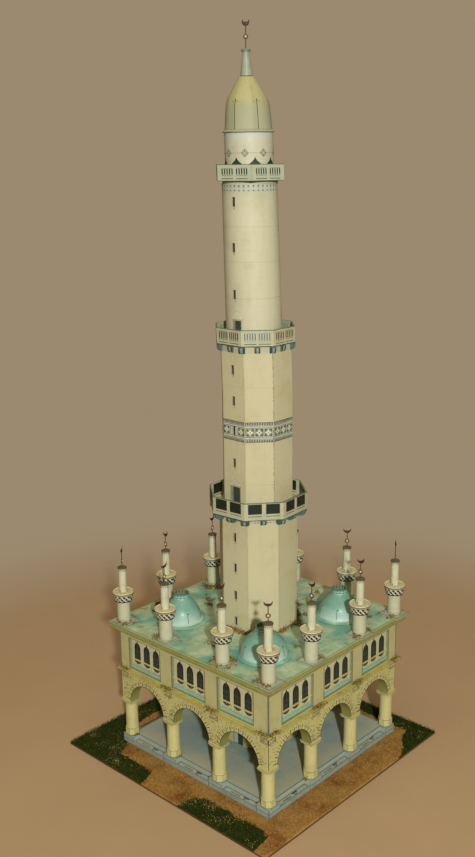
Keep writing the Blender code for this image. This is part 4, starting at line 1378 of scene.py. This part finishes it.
def makeTurrets():
    card = cardMaterial("turret_card", (176, 184, 156), (150, 136, 98))
    drum = cardMaterial("turret_drum_card", turret["drum"], turret["drumStain"], stained=0.45,
                        runs=(1.2, 0.12, (190, 164, 140)))
    # The top of the lattice greys: painted shade under the cup's rim
    lattice = latticeMaterial("turret_lattice", (22, 26, 22), (214, 212, 186), turret["lattice"],
                              turret["latticeWidth"], (95.0, 95.3))
    disc = cardMaterial("turret_disc_card", (200, 191, 150), (140, 122, 80), size=2.2, mottle=0.3)
    rim = cardMaterial("turret_rim_card", (214, 206, 160), (176, 164, 108), stained=0.6, size=2.0,
                       mottle=0.25)
    shaft = cardMaterial("turret_shaft_card", turret["shaft"], (172, 160, 100), stained=0.4, size=4.0,
                         rough=0.45, runs=(1.0, 0.3, (150, 140, 96)))
    cap = cardMaterial("turret_cap_card", turret["capColour"], (66, 58, 40), size=1.5, mottle=0.3)
    finishes = [drum, lattice, disc, shaft, cap, card, inkDark, inkGrey, rim, wireBrown, ringGold, moonRed,
                inkBrown, beadHighlight]
    kinds = np.array([0, 7, 6, 1, 1, 1, 1, 8, 8, 2, 3, 4, 4, 4])
    foot, plate = turret["foot"], turret["column"][0][1]
    wall, ring = wallOf(turret["column"][2:8]), roundOutline(40)
    out, inner = turret["out"], turret["inner"]
    spots = [(side, along) for side in range(4) for along in (-out, -inner, inner)]
    for number, (side, along) in enumerate(spots):
        place = np.add(onSide(side, along, out), turret["shifts"][number])
        corner = number % 3 == 0
        half = turret["cornerCard"] if corner else turret["card"]
        parts = [lofted(square, [(half, foot), (half, plate)], place, 5)]
        parts.append(lofted(roundOutline(48), turret["column"], place, kinds))
        top = levelFace(plate, (side - 1) * math.pi / 2 + math.pi / 2, place)
        for inset in ((0.0, 0.55, 1.1) if corner else (0.0, 0.7)):
            lines = frameLines((-half + inset, half - inset) * 2, 0.18)
            parts.append(plates(top, lines, 0.04, sunk=0.1, finish=6 if inset < 0.1 else 7))
        parts += hoopSets(ring, [
            (3.74, 79.9, 80.03, 0.05, 12), (3.74, 78.9, 79.15, 0.1, 7),
            (float(wall(91.5)), 91.35, 91.6, 0.06, 6), (float(wall(96.2)), 96.1, 96.3, 0.06, 6),
            (2.22, 109.9, 110.1, 0.05, 12), (2.22, 96.3, 96.6, 0.05, 12)], place)
        for k in range(12):
            face = roundFace(k * tau / 12, 2.22, place)
            parts.append(plates(face, [(-0.18, 0.18, 109.2, 109.6)], 0.05, finish=12))
        for k in range(3):
            face = roundFace(k * tau / 3 + 0.5, 2.25, place)
            slit = [(-0.35, 0.35, 97.0, 97.25), (-0.14, 0.14, 96.7, 98.0)]
            parts.append(plates(face, slit, 0.05, finish=6))
        turn, tilt = turret["turns"][number]
        inks = (9, 10, 11, 13)
        parts += finialParts(finial, turret["cap"] - 0.3, place, math.radians(turn), inks, tilt)
        name = f"turret_{sides[side]}_{number % 3 + 1}"
        makePiece(name, parts, finishes, [name])


makeTurrets()
print("stage: turrets")

# Tower

tower = {
    "core": 21.6, "lower": 20.8, "lowerTurn": math.radians(4), "middle": 18.7, "upper": 15.1,
    "upperTop": 14.3, "upperShift": (-0.26, -0.24), "slitHalf": 0.62, "slitTall": 4.6,
    "lowerSlits": (133.2, 115.5, 99.2, 83.8), "middleSlits": (225.9, 209.1, 193.0, 174.9),
    "upperSlits": ((311.9, -82.5), (289.0, -86.0), (265.0, -87.5)),  # level and angle
    "band": (187.5, 198.4), "sheets": (163.9, 187.4, 198.5, 217.0), "upperSheets": (263.0, 281.8, 299.5),
    "cream": (196, 189, 151), "stain": (178, 168, 120), "moss": (168, 168, 128), "high": (200, 195, 164),
}


def shaftMaterial(name, side, more):
    look = {"colour": tower["cream"], "stain": tower["stain"], "stained": 0.45, "size": 16.0, "mottle": 0.1,
            "bump": 0.2, "runs": (3.0, 0.22, (182, 172, 124)), "courses": (7.2, 0.1, 0.12, (150, 140, 96))}
    if side:
        look["fold"] = {"step": side, "width": 0.16, "amount": 0.6, "colour": (104, 100, 70), "shade": 1.2,
                        "shadeAmount": 0.25, "shadeColour": (176, 166, 118)}
    look.update(more)
    return cardMaterial(name, **look)


def slitParts(face, level, half, tall, finish):
    # Slit window: dark opening, pale left jamb, thin dark edge, and a greenish strip below it
    foot, top, jamb = level - tall / 2, level + tall / 2, -half - 0.45
    return plateSets(face, [
        ([(-half, half, foot, top)], 0.05, finish[0]),
        ([(jamb, -half, foot, top)], 0.04, finish[1]),
        ([(-half - 0.6, jamb, foot - 0.2, top + 0.2), (jamb, half + 0.15, top, top + 0.2)], 0.04, finish[2]),
        ([(-half, half, foot - 1.6, foot)], 0.03, finish[3])])


def shifted(place, along):
    # The same place with its middle moved along it
    return lambda way, height, proud: place(np.asarray(way) + along, height, proud)


def gableDoor(face, box, apex, finish, steps=1):
    # Printed doorway: grey jambs, dark opening, pale stepped frame and a pointed gable drawn in line
    left, right, foot, top = box
    middle = (left + right) / 2
    frames = frameLines((left - 0.5, right + 0.5, foot, top + 0.5), 0.16)
    rows = (([(left, right, foot, top)], 0.04, 0),
            ([(left, left + 0.26 * (right - left), foot, top)], 0.07, 1), (frames, 0.06, 2))
    parts = [plates(face, boxes, proud, steps=steps, finish=finish[ink]) for boxes, proud, ink in rows]
    inner = np.array([(left - 0.6, top + 0.6), (middle, apex - 0.5), (right + 0.6, top + 0.6)])
    outer = np.array([(left - 1.1, top + 0.7), (middle, apex), (right + 1.1, top + 0.7)])
    parts.append(ribbon(face, inner, outer, 0.06, finish=finish[3]))
    parts.append(ribbon(face, outer, outer + [(-0.2, 0.0), (0.0, 0.25), (0.2, 0.0)], 0.05, finish=finish[2]))
    return parts


def bandParts(face, half, spots, finish):
    # Ornament band of one face: lines, dentils, and squares with pale four-leaves and dark corners
    low, high = tower["band"]
    reach = half - 0.25
    middle = (low + high) / 2 - 0.05
    teeth = np.linspace(-reach + 0.4, reach - 0.4, 17)

    def across(spans):
        return [(-reach, reach, foot, top) for foot, top in spans]
    parts = plateSets(face, [
        (across([(low + 0.05, high - 0.05)]), 0.02, finish[2]),
        (across([(low, low + 0.22), (high - 0.22, high), (low + 1.75, low + 1.93),
                 (high - 2.05, high - 1.87)]), 0.05, finish[1]),
        ([(x - 0.25, x + 0.25, low + 0.2, low + 1.45) for x in teeth], 0.05, finish[1]),
        ([(x - 0.25, x + 0.25, high - 1.6, high - 0.2) for x in teeth], 0.05, finish[1]),
        (across([(middle - 2.6, middle - 2.35), (middle + 2.35, middle + 2.6)]), 0.05, finish[1])])
    turn = np.arange(16) * tau / 16
    petals = (1.35 + 0.5 * np.cos(4 * turn))[:, None] * np.stack([np.cos(turn), np.sin(turn)], -1)
    corner = np.array([(2.0, 0.75), (2.0, 2.0), (0.75, 2.0)])
    for x in spots:
        parts.append(plates(face, [(x - 2.0, x + 2.0, middle - 2.0, middle + 2.0)], 0.03, finish=finish[4]))
        for k in range(4):
            c, s = math.cos(k * math.pi / 2), math.sin(k * math.pi / 2)
            dark = np.stack([corner[:, 0] * c - corner[:, 1] * s, corner[:, 0] * s + corner[:, 1] * c], -1)
            parts.append(cutPlates(face, (dark + (x, middle))[None], 0.05, finish=finish[1]))
        parts.append(cutPlates(face, (0.92 * petals + (x, middle))[None], 0.07, finish=finish[3]))
        parts.append(plates(face, [(x - 0.3, x + 0.3, middle - 0.3, middle + 0.3)], 0.1, finish=finish[0]))
    for x in (-7.3, -2.4, 2.4, 7.3):
        parts.append(plates(face, [(x - 0.12, x + 0.12, middle - 1.9, middle + 1.9)], 0.04, finish=finish[0]))
    return parts


def makeTower():
    opening = cardMaterial("slit_print", (48, 54, 48), (30, 36, 34), size=1.5, mottle=0.3, rough=0.4)
    doorDark = cardMaterial("door_print", (64, 72, 54), (38, 50, 42), stained=0.6, size=2.5, mottle=0.4,
                            rough=0.4)
    jamb = inkMaterial("jamb_ink", (184, 182, 152), mottle=0.2)
    streak = inkMaterial("streak_ink", (168, 166, 122), mottle=0.2)
    panel = inkMaterial("band_panel_ink", (188, 192, 168), mottle=0.1)
    inks = [opening, doorDark, jamb, streak, panel, inkDark, inkGrey, inkGreen, paperWhite, inkBrown]
    reach = {key: 2 * tower[key] * math.tan(math.pi / 8) for key in ("core", "lower", "middle")}

    setFinish("tower_core", shaftMaterial("core_card", 0, {"colour": (186, 170, 110), "stain": (140, 124, 70),
                                                         "stained": 0.6}))
    face = flatFace(-math.pi / 2, tower["core"])
    parts = [plates(face, [(2.7, 6.2, 7.4, 22.0)], 0.05, finish=0),
             plates(face, [(-0.4, 2.4, 7.4, 22.0)], 0.05, finish=10),
             plates(face, frameLines((-0.8, 6.6, 7.4, 22.6), 0.3), 0.07, finish=7)]
    teal = cardMaterial("core_door_print", (36, 66, 60), (24, 40, 38), stained=0.6, size=4.0, mottle=0.3,
                        rough=0.4)
    leaf = inkMaterial("core_leaf_ink", (150, 178, 166))
    makePiece("core_door", parts, [teal] + inks[1:] + [leaf])

    card = shaftMaterial("lower_shaft_card", reach["lower"], {"seed": 9.0})
    low, high = spanOf("lower_shaft")
    turned = foldedOutline(8, tower["lowerTurn"])
    parts = [lofted(turned, [(tower["lower"], low[2] - 0.3), (tower["lower"], high[2] + 0.3)], finish=10)]
    face = shifted(flatFace(tower["lowerTurn"] - math.pi / 2, tower["lower"]), 0.4)
    for level in tower["lowerSlits"]:
        parts += slitParts(face, level, tower["slitHalf"], tower["slitTall"], (0, 2, 5, 3))
    parts.append(hoop(turned, tower["lower"], low[2] + 0.1, low[2] + 0.3, 0.05, finish=7))
    makePiece("lower_shaft", parts, inks + [card], ["lower_shaft"])

    card = shaftMaterial("middle_shaft_card", reach["middle"], {"seed": 12.0})
    low, high = spanOf("middle_shaft")
    levels = [low[2] - 0.3, 170.0, 190.0, lean["foot"], high[2] + 0.3]
    leafSquare = inkMaterial("band_square_ink", (120, 130, 106), mottle=0.2)
    parts = [lofted(octagon, [(tower["middle"], level) for level in levels], finish=10)]
    face = shifted(flatFace(-math.pi / 2, tower["middle"]), 0.45)
    for level in tower["middleSlits"]:
        parts += slitParts(face, level, tower["slitHalf"], tower["slitTall"], (0, 2, 5, 3))
    for k in range(8):
        spots = (-5.2, 5.2) if k == 6 else (-4.85, 0.0, 4.85)
        face = flatFace(k * tau / 8, tower["middle"])
        parts += bandParts(face, reach["middle"] / 2, spots, (7, 5, 4, 8, 11))
    front = flatFace(-math.pi / 2, tower["middle"])
    parts += gableDoor(front, (-2.6, 4.0, 148.0, 161.6), 165.6, (1, 6, 7, 8))
    # The fold to the right of the foremost face shows dark, and breaks off here and there
    source = np.random.default_rng(51)
    marks = np.arange(low[2] + 12, high[2] - 1, 1.1)
    marks = marks[source.random(len(marks)) < 0.62]
    width = source.uniform(0.08, 0.24, len(marks))
    edge = reach["middle"] / 2
    ends = marks + source.uniform(0.6, 1.3, len(marks))
    fold = np.stack([edge - width, np.full_like(width, edge), marks, ends], -1)
    parts.append(plates(flatFace(-math.pi / 4, tower["middle"]), fold, 0.04, finish=7))
    for level in tower["sheets"]:
        parts.append(hoop(octagon, tower["middle"], level, level + 0.1, 0.03, finish=3))
    makePiece("middle_shaft", parts, inks + [card, leafSquare], ["middle_shaft"])

    low, high = spanOf("upper_shaft")
    foot, top = low[2], high[2]
    # Its top, just under the top balcony, goes bluish grey: painted shade
    card = shaftMaterial("upper_shaft_card", 0, {
        "seed": 15.0, "stained": 0.5, "stain": tower["moss"], "size": 22.0, "colour": tower["high"],
        "rise": (314.0, 320.0, 0.7, (180, 190, 174))})
    slope = wallOf([(tower["upper"], foot), (tower["upperTop"], top)])
    shift = tower["upperShift"]
    ring = roundOutline(96)
    parts = [lofted(ring, [(tower["upper"], foot - 0.3), (tower["upperTop"], top + 0.3)], shift, 10)]
    for level, angle in tower["upperSlits"]:
        parts += slitParts(roundFace(math.radians(angle), slope, shift), level, tower["slitHalf"],
                           tower["slitTall"] - 0.2, (0, 2, 5, 3))
    for level in tower["upperSheets"]:
        parts.append(hoop(ring, float(slope(level)), level, level + 0.12, 0.03, middle=shift, finish=3))
    front, seam = (roundFace(math.radians(angle), slope, shift) for angle in (-84.0, 131.0))
    parts += gableDoor(front, (-2.4, 2.4, 241.0, 251.6), 256.4, (1, 6, 7, 8), 8)
    parts.append(upright(seam, 0.0, foot + 0.3, top - 0.3, 0.12, finish=6))
    for k in range(36):
        face = roundFace(k * tau / 36, slope, shift)
        parts.append(plates(face, [(-0.55, 0.55, 319.6, 320.3), (-0.25, 0.25, 318.9, 319.7),
                                   (-0.5, 0.5, 317.2, 317.9)], 0.06, finish=6))
    makePiece("upper_shaft", parts, inks + [card], ["upper_shaft"])


makeTower()
print("stage: tower")

# Flock heaps on the roof: a bank round the tower's foot, crumbs at the turret cards and domes

def makeRoofMoss():
    source = np.random.default_rng(41)
    level = spanOf("roof")[1][2]
    turn = np.sort(source.uniform(0, tau, 110))
    fold = (turn + math.pi / 8) % (math.pi / 4) - math.pi / 8
    away = tower["lower"] / np.cos(fold) + 0.3
    heaps = [np.stack([away * np.cos(turn), away * np.sin(turn), np.full_like(turn, level)], -1)]
    for index in range(4):
        for along in (-turret["out"], -turret["inner"], turret["inner"]):
            x, y = np.add(onSide(index, along, turret["out"]), turret["shifts"][len(heaps) - 1])
            count = source.integers(8, 22)
            angle = source.choice(source.uniform(0, tau, 2), count) + source.normal(0, 0.5, count)
            away = source.uniform(4.2, 6.4, count)
            heap = (x + away * np.cos(angle), y + away * np.sin(angle), np.full(count, level))
            heaps.append(np.stack(heap, -1))
    loose = source.uniform(-52, 52, (36, 2))
    heaps.append(np.column_stack([loose, np.full(36, level - 0.1)]))
    crumbs = np.concatenate(heaps[1:])
    crumbs[:, :2] = np.clip(crumbs[:, :2], -57.5, 57.5)
    bank = mossPart(heaps[0], (1.1, 1.1, 0.2), 50, 0.4, source, 0.9)
    litter = mossPart(crumbs, (1.15, 1.15, 0.12), 48, 0.4, source, 0.75)
    makePiece("roof_moss", [bank, litter], [mossFlock], sharp=20.0)


makeRoofMoss()

# Balconies

balcony = {
    "low": {"foot": 142.4, "slab": 146.2, "top": 156.0, "reach": 25.9, "hub": 20.8,
            "outline": foldedOutline(8, tower["lowerTurn"]), "count": 8, "turn": tower["lowerTurn"],
            "half": 3.8, "at": 4.85, "panel": (149.7, 155.45), "bars": 0, "corbels": 16},
    "middle": {"foot": 235.3, "slab": 239.2, "top": 247.8, "reach": 20.7, "hub": 18.7, "outline": octagon,
               "count": 8, "turn": 0.0, "half": 3.05, "at": 3.75, "panel": (241.6, 246.4), "bars": 5,
               "corbels": 16},
    "top": {"foot": 320.8, "slab": 322.2, "top": 330.4, "reach": 16.9, "hub": 14.4, "outline": hexagon,
            "count": 6, "turn": -math.pi / 12, "half": 3.17, "at": 4.11, "panel": (324.5, 328.7), "bars": 5,
            "corbels": 0},
}


def corbelPart(values, k):
    # Quarter-round bracket: its outline in the upright plane of its angle, given a thickness
    angle = k * tau / values["corbels"] + (values["turn"] if values["count"] == 8 else 0.0)
    fold = math.pi / values["count"]
    near = (angle - values["turn"] + fold) % (2 * fold) - fold
    inner = values["hub"] / math.cos(near) - 0.3
    outer = values["reach"] / math.cos(near) - 0.55
    top, drop = values["slab"] + 0.1, values["slab"] - 0.9 - values["foot"]
    swing = np.linspace(0, math.pi / 2, 9)
    away = np.concatenate([[inner, outer], inner + (outer - inner) * np.cos(swing) ** 0.7])
    level = np.concatenate([[top, top], values["slab"] - 0.9 - drop * np.sin(swing) ** 0.8])
    c, s = math.cos(angle), math.sin(angle)
    half = np.array([-1.4, 1.4])[:, None]
    shiftX, shiftY = towerAxis(values["slab"])
    x, y = shiftX + away * c - half * s, shiftY + away * s + half * c
    points = np.stack([x, y, np.broadcast_to(level, x.shape)], -1)
    part = gridPart(points, around=True, caps=True, finish=1)

    def across(u, v, w):
        return np.stack([shiftX + u * c - w * s, shiftY + u * s + w * c, v], -1)
    inner, outer = np.stack([away[2:] - 0.02, level[2:]], -1), np.stack([away[2:] + 0.12, level[2:]], -1)
    # Across the curved front: a pale middle stripe, a painted highlight, between dark printed stripes at the
    # sides
    strips = [ribbon(across, inner, outer, right, -left, finish)
              for left, right, finish in ((-0.55, 0.55, 2), (0.95, 1.42, 4), (-1.42, -1.1, 4))]
    return [part] + strips


def panelParts(values, face, centre, ink):
    # Dark panel, or a row of upright bars between dots, with lines round it
    foot, top = values["panel"]
    half = values["half"]
    if not values["bars"]:
        box = (centre - half, centre + half, foot, top)
        return [plates(face, [box, (centre - half, centre + half, foot - 1.3, foot - 1.0)], 0.05, finish=3),
                plates(face, frameLines(box, 0.16), 0.08, finish=ink)]
    x = centre + np.linspace(-half + 0.35, half - 0.35, values["bars"])
    between = (x[1:] + x[:-1]) / 2
    drop = top - foot  # the lower dots are the upper ones moved down
    marks = [(at - wide, at + wide, low, high) for places, wide, low, high in (
        (x, 0.32, foot + 1.1, top - 0.45), (x, 0.1, foot, top), (between, 0.16, top - 0.35, top),
        (between, 0.16, top - 0.35 + 0.75 - drop, top + 0.75 - drop)) for at in places]
    line = (centre - half - 0.15, centre + half + 0.15, foot - 1.25, foot - 0.95)
    return plateSets(face, [(marks, 0.06, ink), ([line], 0.05, 4)])


def makeBalconies():
    cream = cardMaterial("balcony_card", (182, 181, 148), (156, 152, 108), size=8.0, mottle=0.15,
                         rough=0.48, seed=17.0)
    bracket = cardMaterial("corbel_card", (80, 106, 102), (54, 78, 78), mottle=0.3, rough=0.45)
    # Pale card for the middle stripe of each bracket's front: a painted highlight
    front = cardMaterial("corbel_highlight_card", (140, 162, 154), (96, 128, 124), size=2.0, mottle=0.3,
                         rough=0.45)
    dark = cardMaterial("panel_print", (26, 38, 24), (52, 52, 24), size=2.0, mottle=0.35, rough=0.35,
                        gloss=0.45)
    rail = cardMaterial("rail_card", (116, 128, 104), (84, 98, 82), size=4.0, rough=0.6, gloss=0.3)
    under = cardMaterial("balcony_underside_card", (196, 194, 164), (160, 166, 140), mottle=0.3)
    lining = cardMaterial("parapet_lining_card", (160, 164, 134), (124, 134, 108), size=1.6, mottle=0.3)
    pale = cardMaterial("top_balcony_card", (178, 184, 158), (160, 162, 118), size=6.0, rough=0.48,
                        seed=18.0)
    finishes = [cream, bracket, front, dark, inkDark, rail, inkGreen, inkGrey, inkBlue, inkBrown, under,
                lining, pale]
    for name, values in balcony.items():
        reach, slab, top, foot, hub = (values[key] for key in ("reach", "slab", "top", "foot", "hub"))
        outline, inner = values["outline"], reach - 0.75
        hubOutline = roundOutline(72) if name == "top" else outline
        shell = [(hub, slab - 0.05), (reach, slab), (reach, top - 0.3), (reach, top), (inner, top),
                 (inner, slab + 1.2)]
        wall = 12 if name == "top" else 0
        parts = [lofted(outline, shell, finish=np.array([10, wall, 5, 5, 11 if values["bars"] else 0]))]
        parts.append(lofted(hubOutline, [(hub, foot), (hub - 0.02, slab + 0.6)], finish=0))
        parts += hoopSets(outline, [
            (reach, slab, slab + 0.22, 0.05, 4),
            (reach, top - 0.3, top - 0.1, 0.05, 6)])
        for k in range(values["count"]):
            angle = values["turn"] + k * 2 * math.pi / values["count"]
            face = flatFace(angle, reach)
            inside = flatFace(angle + math.pi, -inner)
            ink = 4 if values["count"] == 6 else {7: 8, 0: 9}.get(k, 4)
            edge = reach * math.tan(math.pi / values["count"])
            parts.append(plates(face, [(edge - 0.12, edge, slab, top)], 0.03, finish=7))
            for centre in (-values["at"], values["at"]):
                parts += panelParts(values, face, centre, ink)
                parts += panelParts(values, inside, centre * (inner / reach) ** 3,
                                    ink if name == "low" else 7)
        for k in range(values["corbels"]):
            parts += corbelPart(values, k)
            gap = roundFace((k + 0.5) * tau / values["corbels"] + values["turn"], hub + 0.12)
            if name == "low":
                dots = [(x - 0.3, x + 0.3, level, level + 0.5) for x in (-1.6, 0.0, 1.6)
                        for level in (foot + 0.5, foot + 2.0)]
                parts.append(plates(gap, dots, 0.5, finish=7))
        makePiece(f"balcony_{name}", parts, finishes, [f"balcony_{name}"])


makeBalconies()
print("stage: balconies")

# Crown

crown = {
    "drum": 12.5, "rosettes": 8, "rosetteTurn": -103.0, "triangleTurn": -79.5, "line": 335.8,
    "bulb": ((13.3, 345.9), (13.4, 346.3), (13.2, 346.7), (12.5, 346.95), (12.15, 347.3), (11.95, 349.0),
             (11.75, 351.5), (11.6, 353.5), (11.4, 356.0), (11.1, 358.5), (10.8, 360.2), (10.4, 361.5),
             (9.75, 363.0), (8.9, 364.5), (6.6, 368.4), (4.0, 372.7)),
    "seams": 6, "shoulder": 360.6, "flareWay": (0.0, 0.65, 1.5, 2.8, 4.4),
    "flareTop": (333.6, 332.3, 331.5, 330.5, 323.7),
    "spire": ((3.2, 373.1), (1.7, 384.7), (2.5, 384.75), (2.5, 385.5), (2.2, 385.8)),
}
mainFinial = {"wire": 0.3, "ringAt": 391.7, "ring": 1.25, "hole": 0.7, "moonAt": 398.5, "moon": 1.9,
              "horns": 40, "thick": 2.0}


def makeCrown():
    cream = cardMaterial("drum_card", (196, 194, 166), (180, 170, 124), stained=0.45, size=9.0, mottle=0.12,
                         rough=0.48, seed=21.0, rise=(340.0, 345.0, 0.6, (198, 204, 190)))
    leafGreen = inkMaterial("drum_leaf_ink", (44, 62, 44))
    level, shoulder = crown["line"], crown["shoulder"]
    low, high = spanOf("drum")
    foot, ring = low[2], roundOutline(72)
    parts = [lofted(ring, [(crown["drum"], foot), (crown["drum"], high[2])]),
             hoop(ring, crown["drum"], level - 0.07, level + 0.07, 0.05, finish=1)]
    for k in range(crown["rosettes"]):
        face = roundFace(math.radians(crown["rosetteTurn"] + 45 * k), crown["drum"])
        for size, lift, ink in ((2.0, 0.06, 2), (1.6, 0.08, 0)):
            way = np.linspace(-size, size, 13)
            tall = size * 1.05 - 1.04 * np.abs(way)
            parts.append(wrapped(face, way, level - tall, level + tall, lift, ink))
        diamond = 0.46 * np.array([(-1.0, 0.0), (0.0, -1.0), (1.0, 0.0), (0.0, 1.0)])
        buds = [diamond + (x, level + y) for x, y in ((-0.8, 0.0), (0.8, 0.0), (0.0, 0.8), (0.0, -0.8))]
        parts.append(cutPlates(face, buds, 0.11, finish=2))
        face = roundFace(math.radians(crown["triangleTurn"] + 45 * k), crown["drum"])
        way = np.linspace(-4.4, 4.4, 23)
        flare = np.interp(np.abs(way), crown["flareWay"], np.array(crown["flareTop"]) - foot)
        parts.append(wrapped(face, way, foot + 0.1, foot + 0.2 + flare, finish=3))
    makePiece("drum", parts, [cream, inkGrey, inkGreen, leafGreen], ["drum"])

    green = cardMaterial(
        "bulb_card", (174, 168, 118), (150, 152, 102), size=8.0, mottle=0.12, rough=0.6, gloss=0.3, bump=0.1,
        seed=25.0, runs=(3.0, 0.35, (140, 146, 96)), rise=(366.0, 351.0, 0.9, (164, 166, 136)),
        fold={"step": 14.03, "start": 7.016, "width": 0.1, "amount": 0.0, "colour": (90, 90, 60),
              "shade": 2.4, "shadeAmount": 0.35, "shadeColour": (140, 144, 104)})
    wall, ring = wallOf(crown["bulb"]), roundOutline(96)
    parts = [lofted(ring, crown["bulb"])]
    parts += hoopSets(ring, [(13.25, 345.95, 346.2, 0.08, 1), (12.2, 346.95, 347.25, 0.12, 1)])
    for k in range(crown["seams"]):
        face = roundFace(math.radians(-83 + 60 * k), wall)
        parts += [upright(face, 0.0, 347.3, shoulder, 0.15, steps=14, finish=2),
                  upright(face, 0.0, shoulder - 0.15, shoulder + 0.15, 1.7, steps=2, finish=2),
                  upright(face, 0.2, shoulder, shoulder + 1.2, 0.25, steps=3, finish=2)]
    makePiece("bulb_dome", parts, [green, inkBrown, inkDark], ["bulb_dome"])

    pale = cardMaterial("spire_card", (154, 160, 138), (126, 142, 120), size=5.0, mottle=0.15, rough=0.4,
                        seed=27.0)
    plate = cardMaterial("spire_disc_card", (116, 128, 118), (86, 98, 90), size=2.0)
    parts = [lofted(roundOutline(48), crown["spire"], finish=np.array([0, 1, 1, 1]))]
    makePiece("spire", parts, [pale, plate, inkGrey], ["spire"])

    foot = spanOf("main_finial")[0][2]
    shiftX, shiftY = towerAxis(foot)
    parts = finialParts(mainFinial, foot, (float(shiftX), float(shiftY)), math.radians(43), (0, 1, 2, 3))
    makePiece("main_finial", parts, [wireBrown, ringGold, moonRed, beadHighlight], ["main_finial"])


makeCrown()
print("stage: crown")
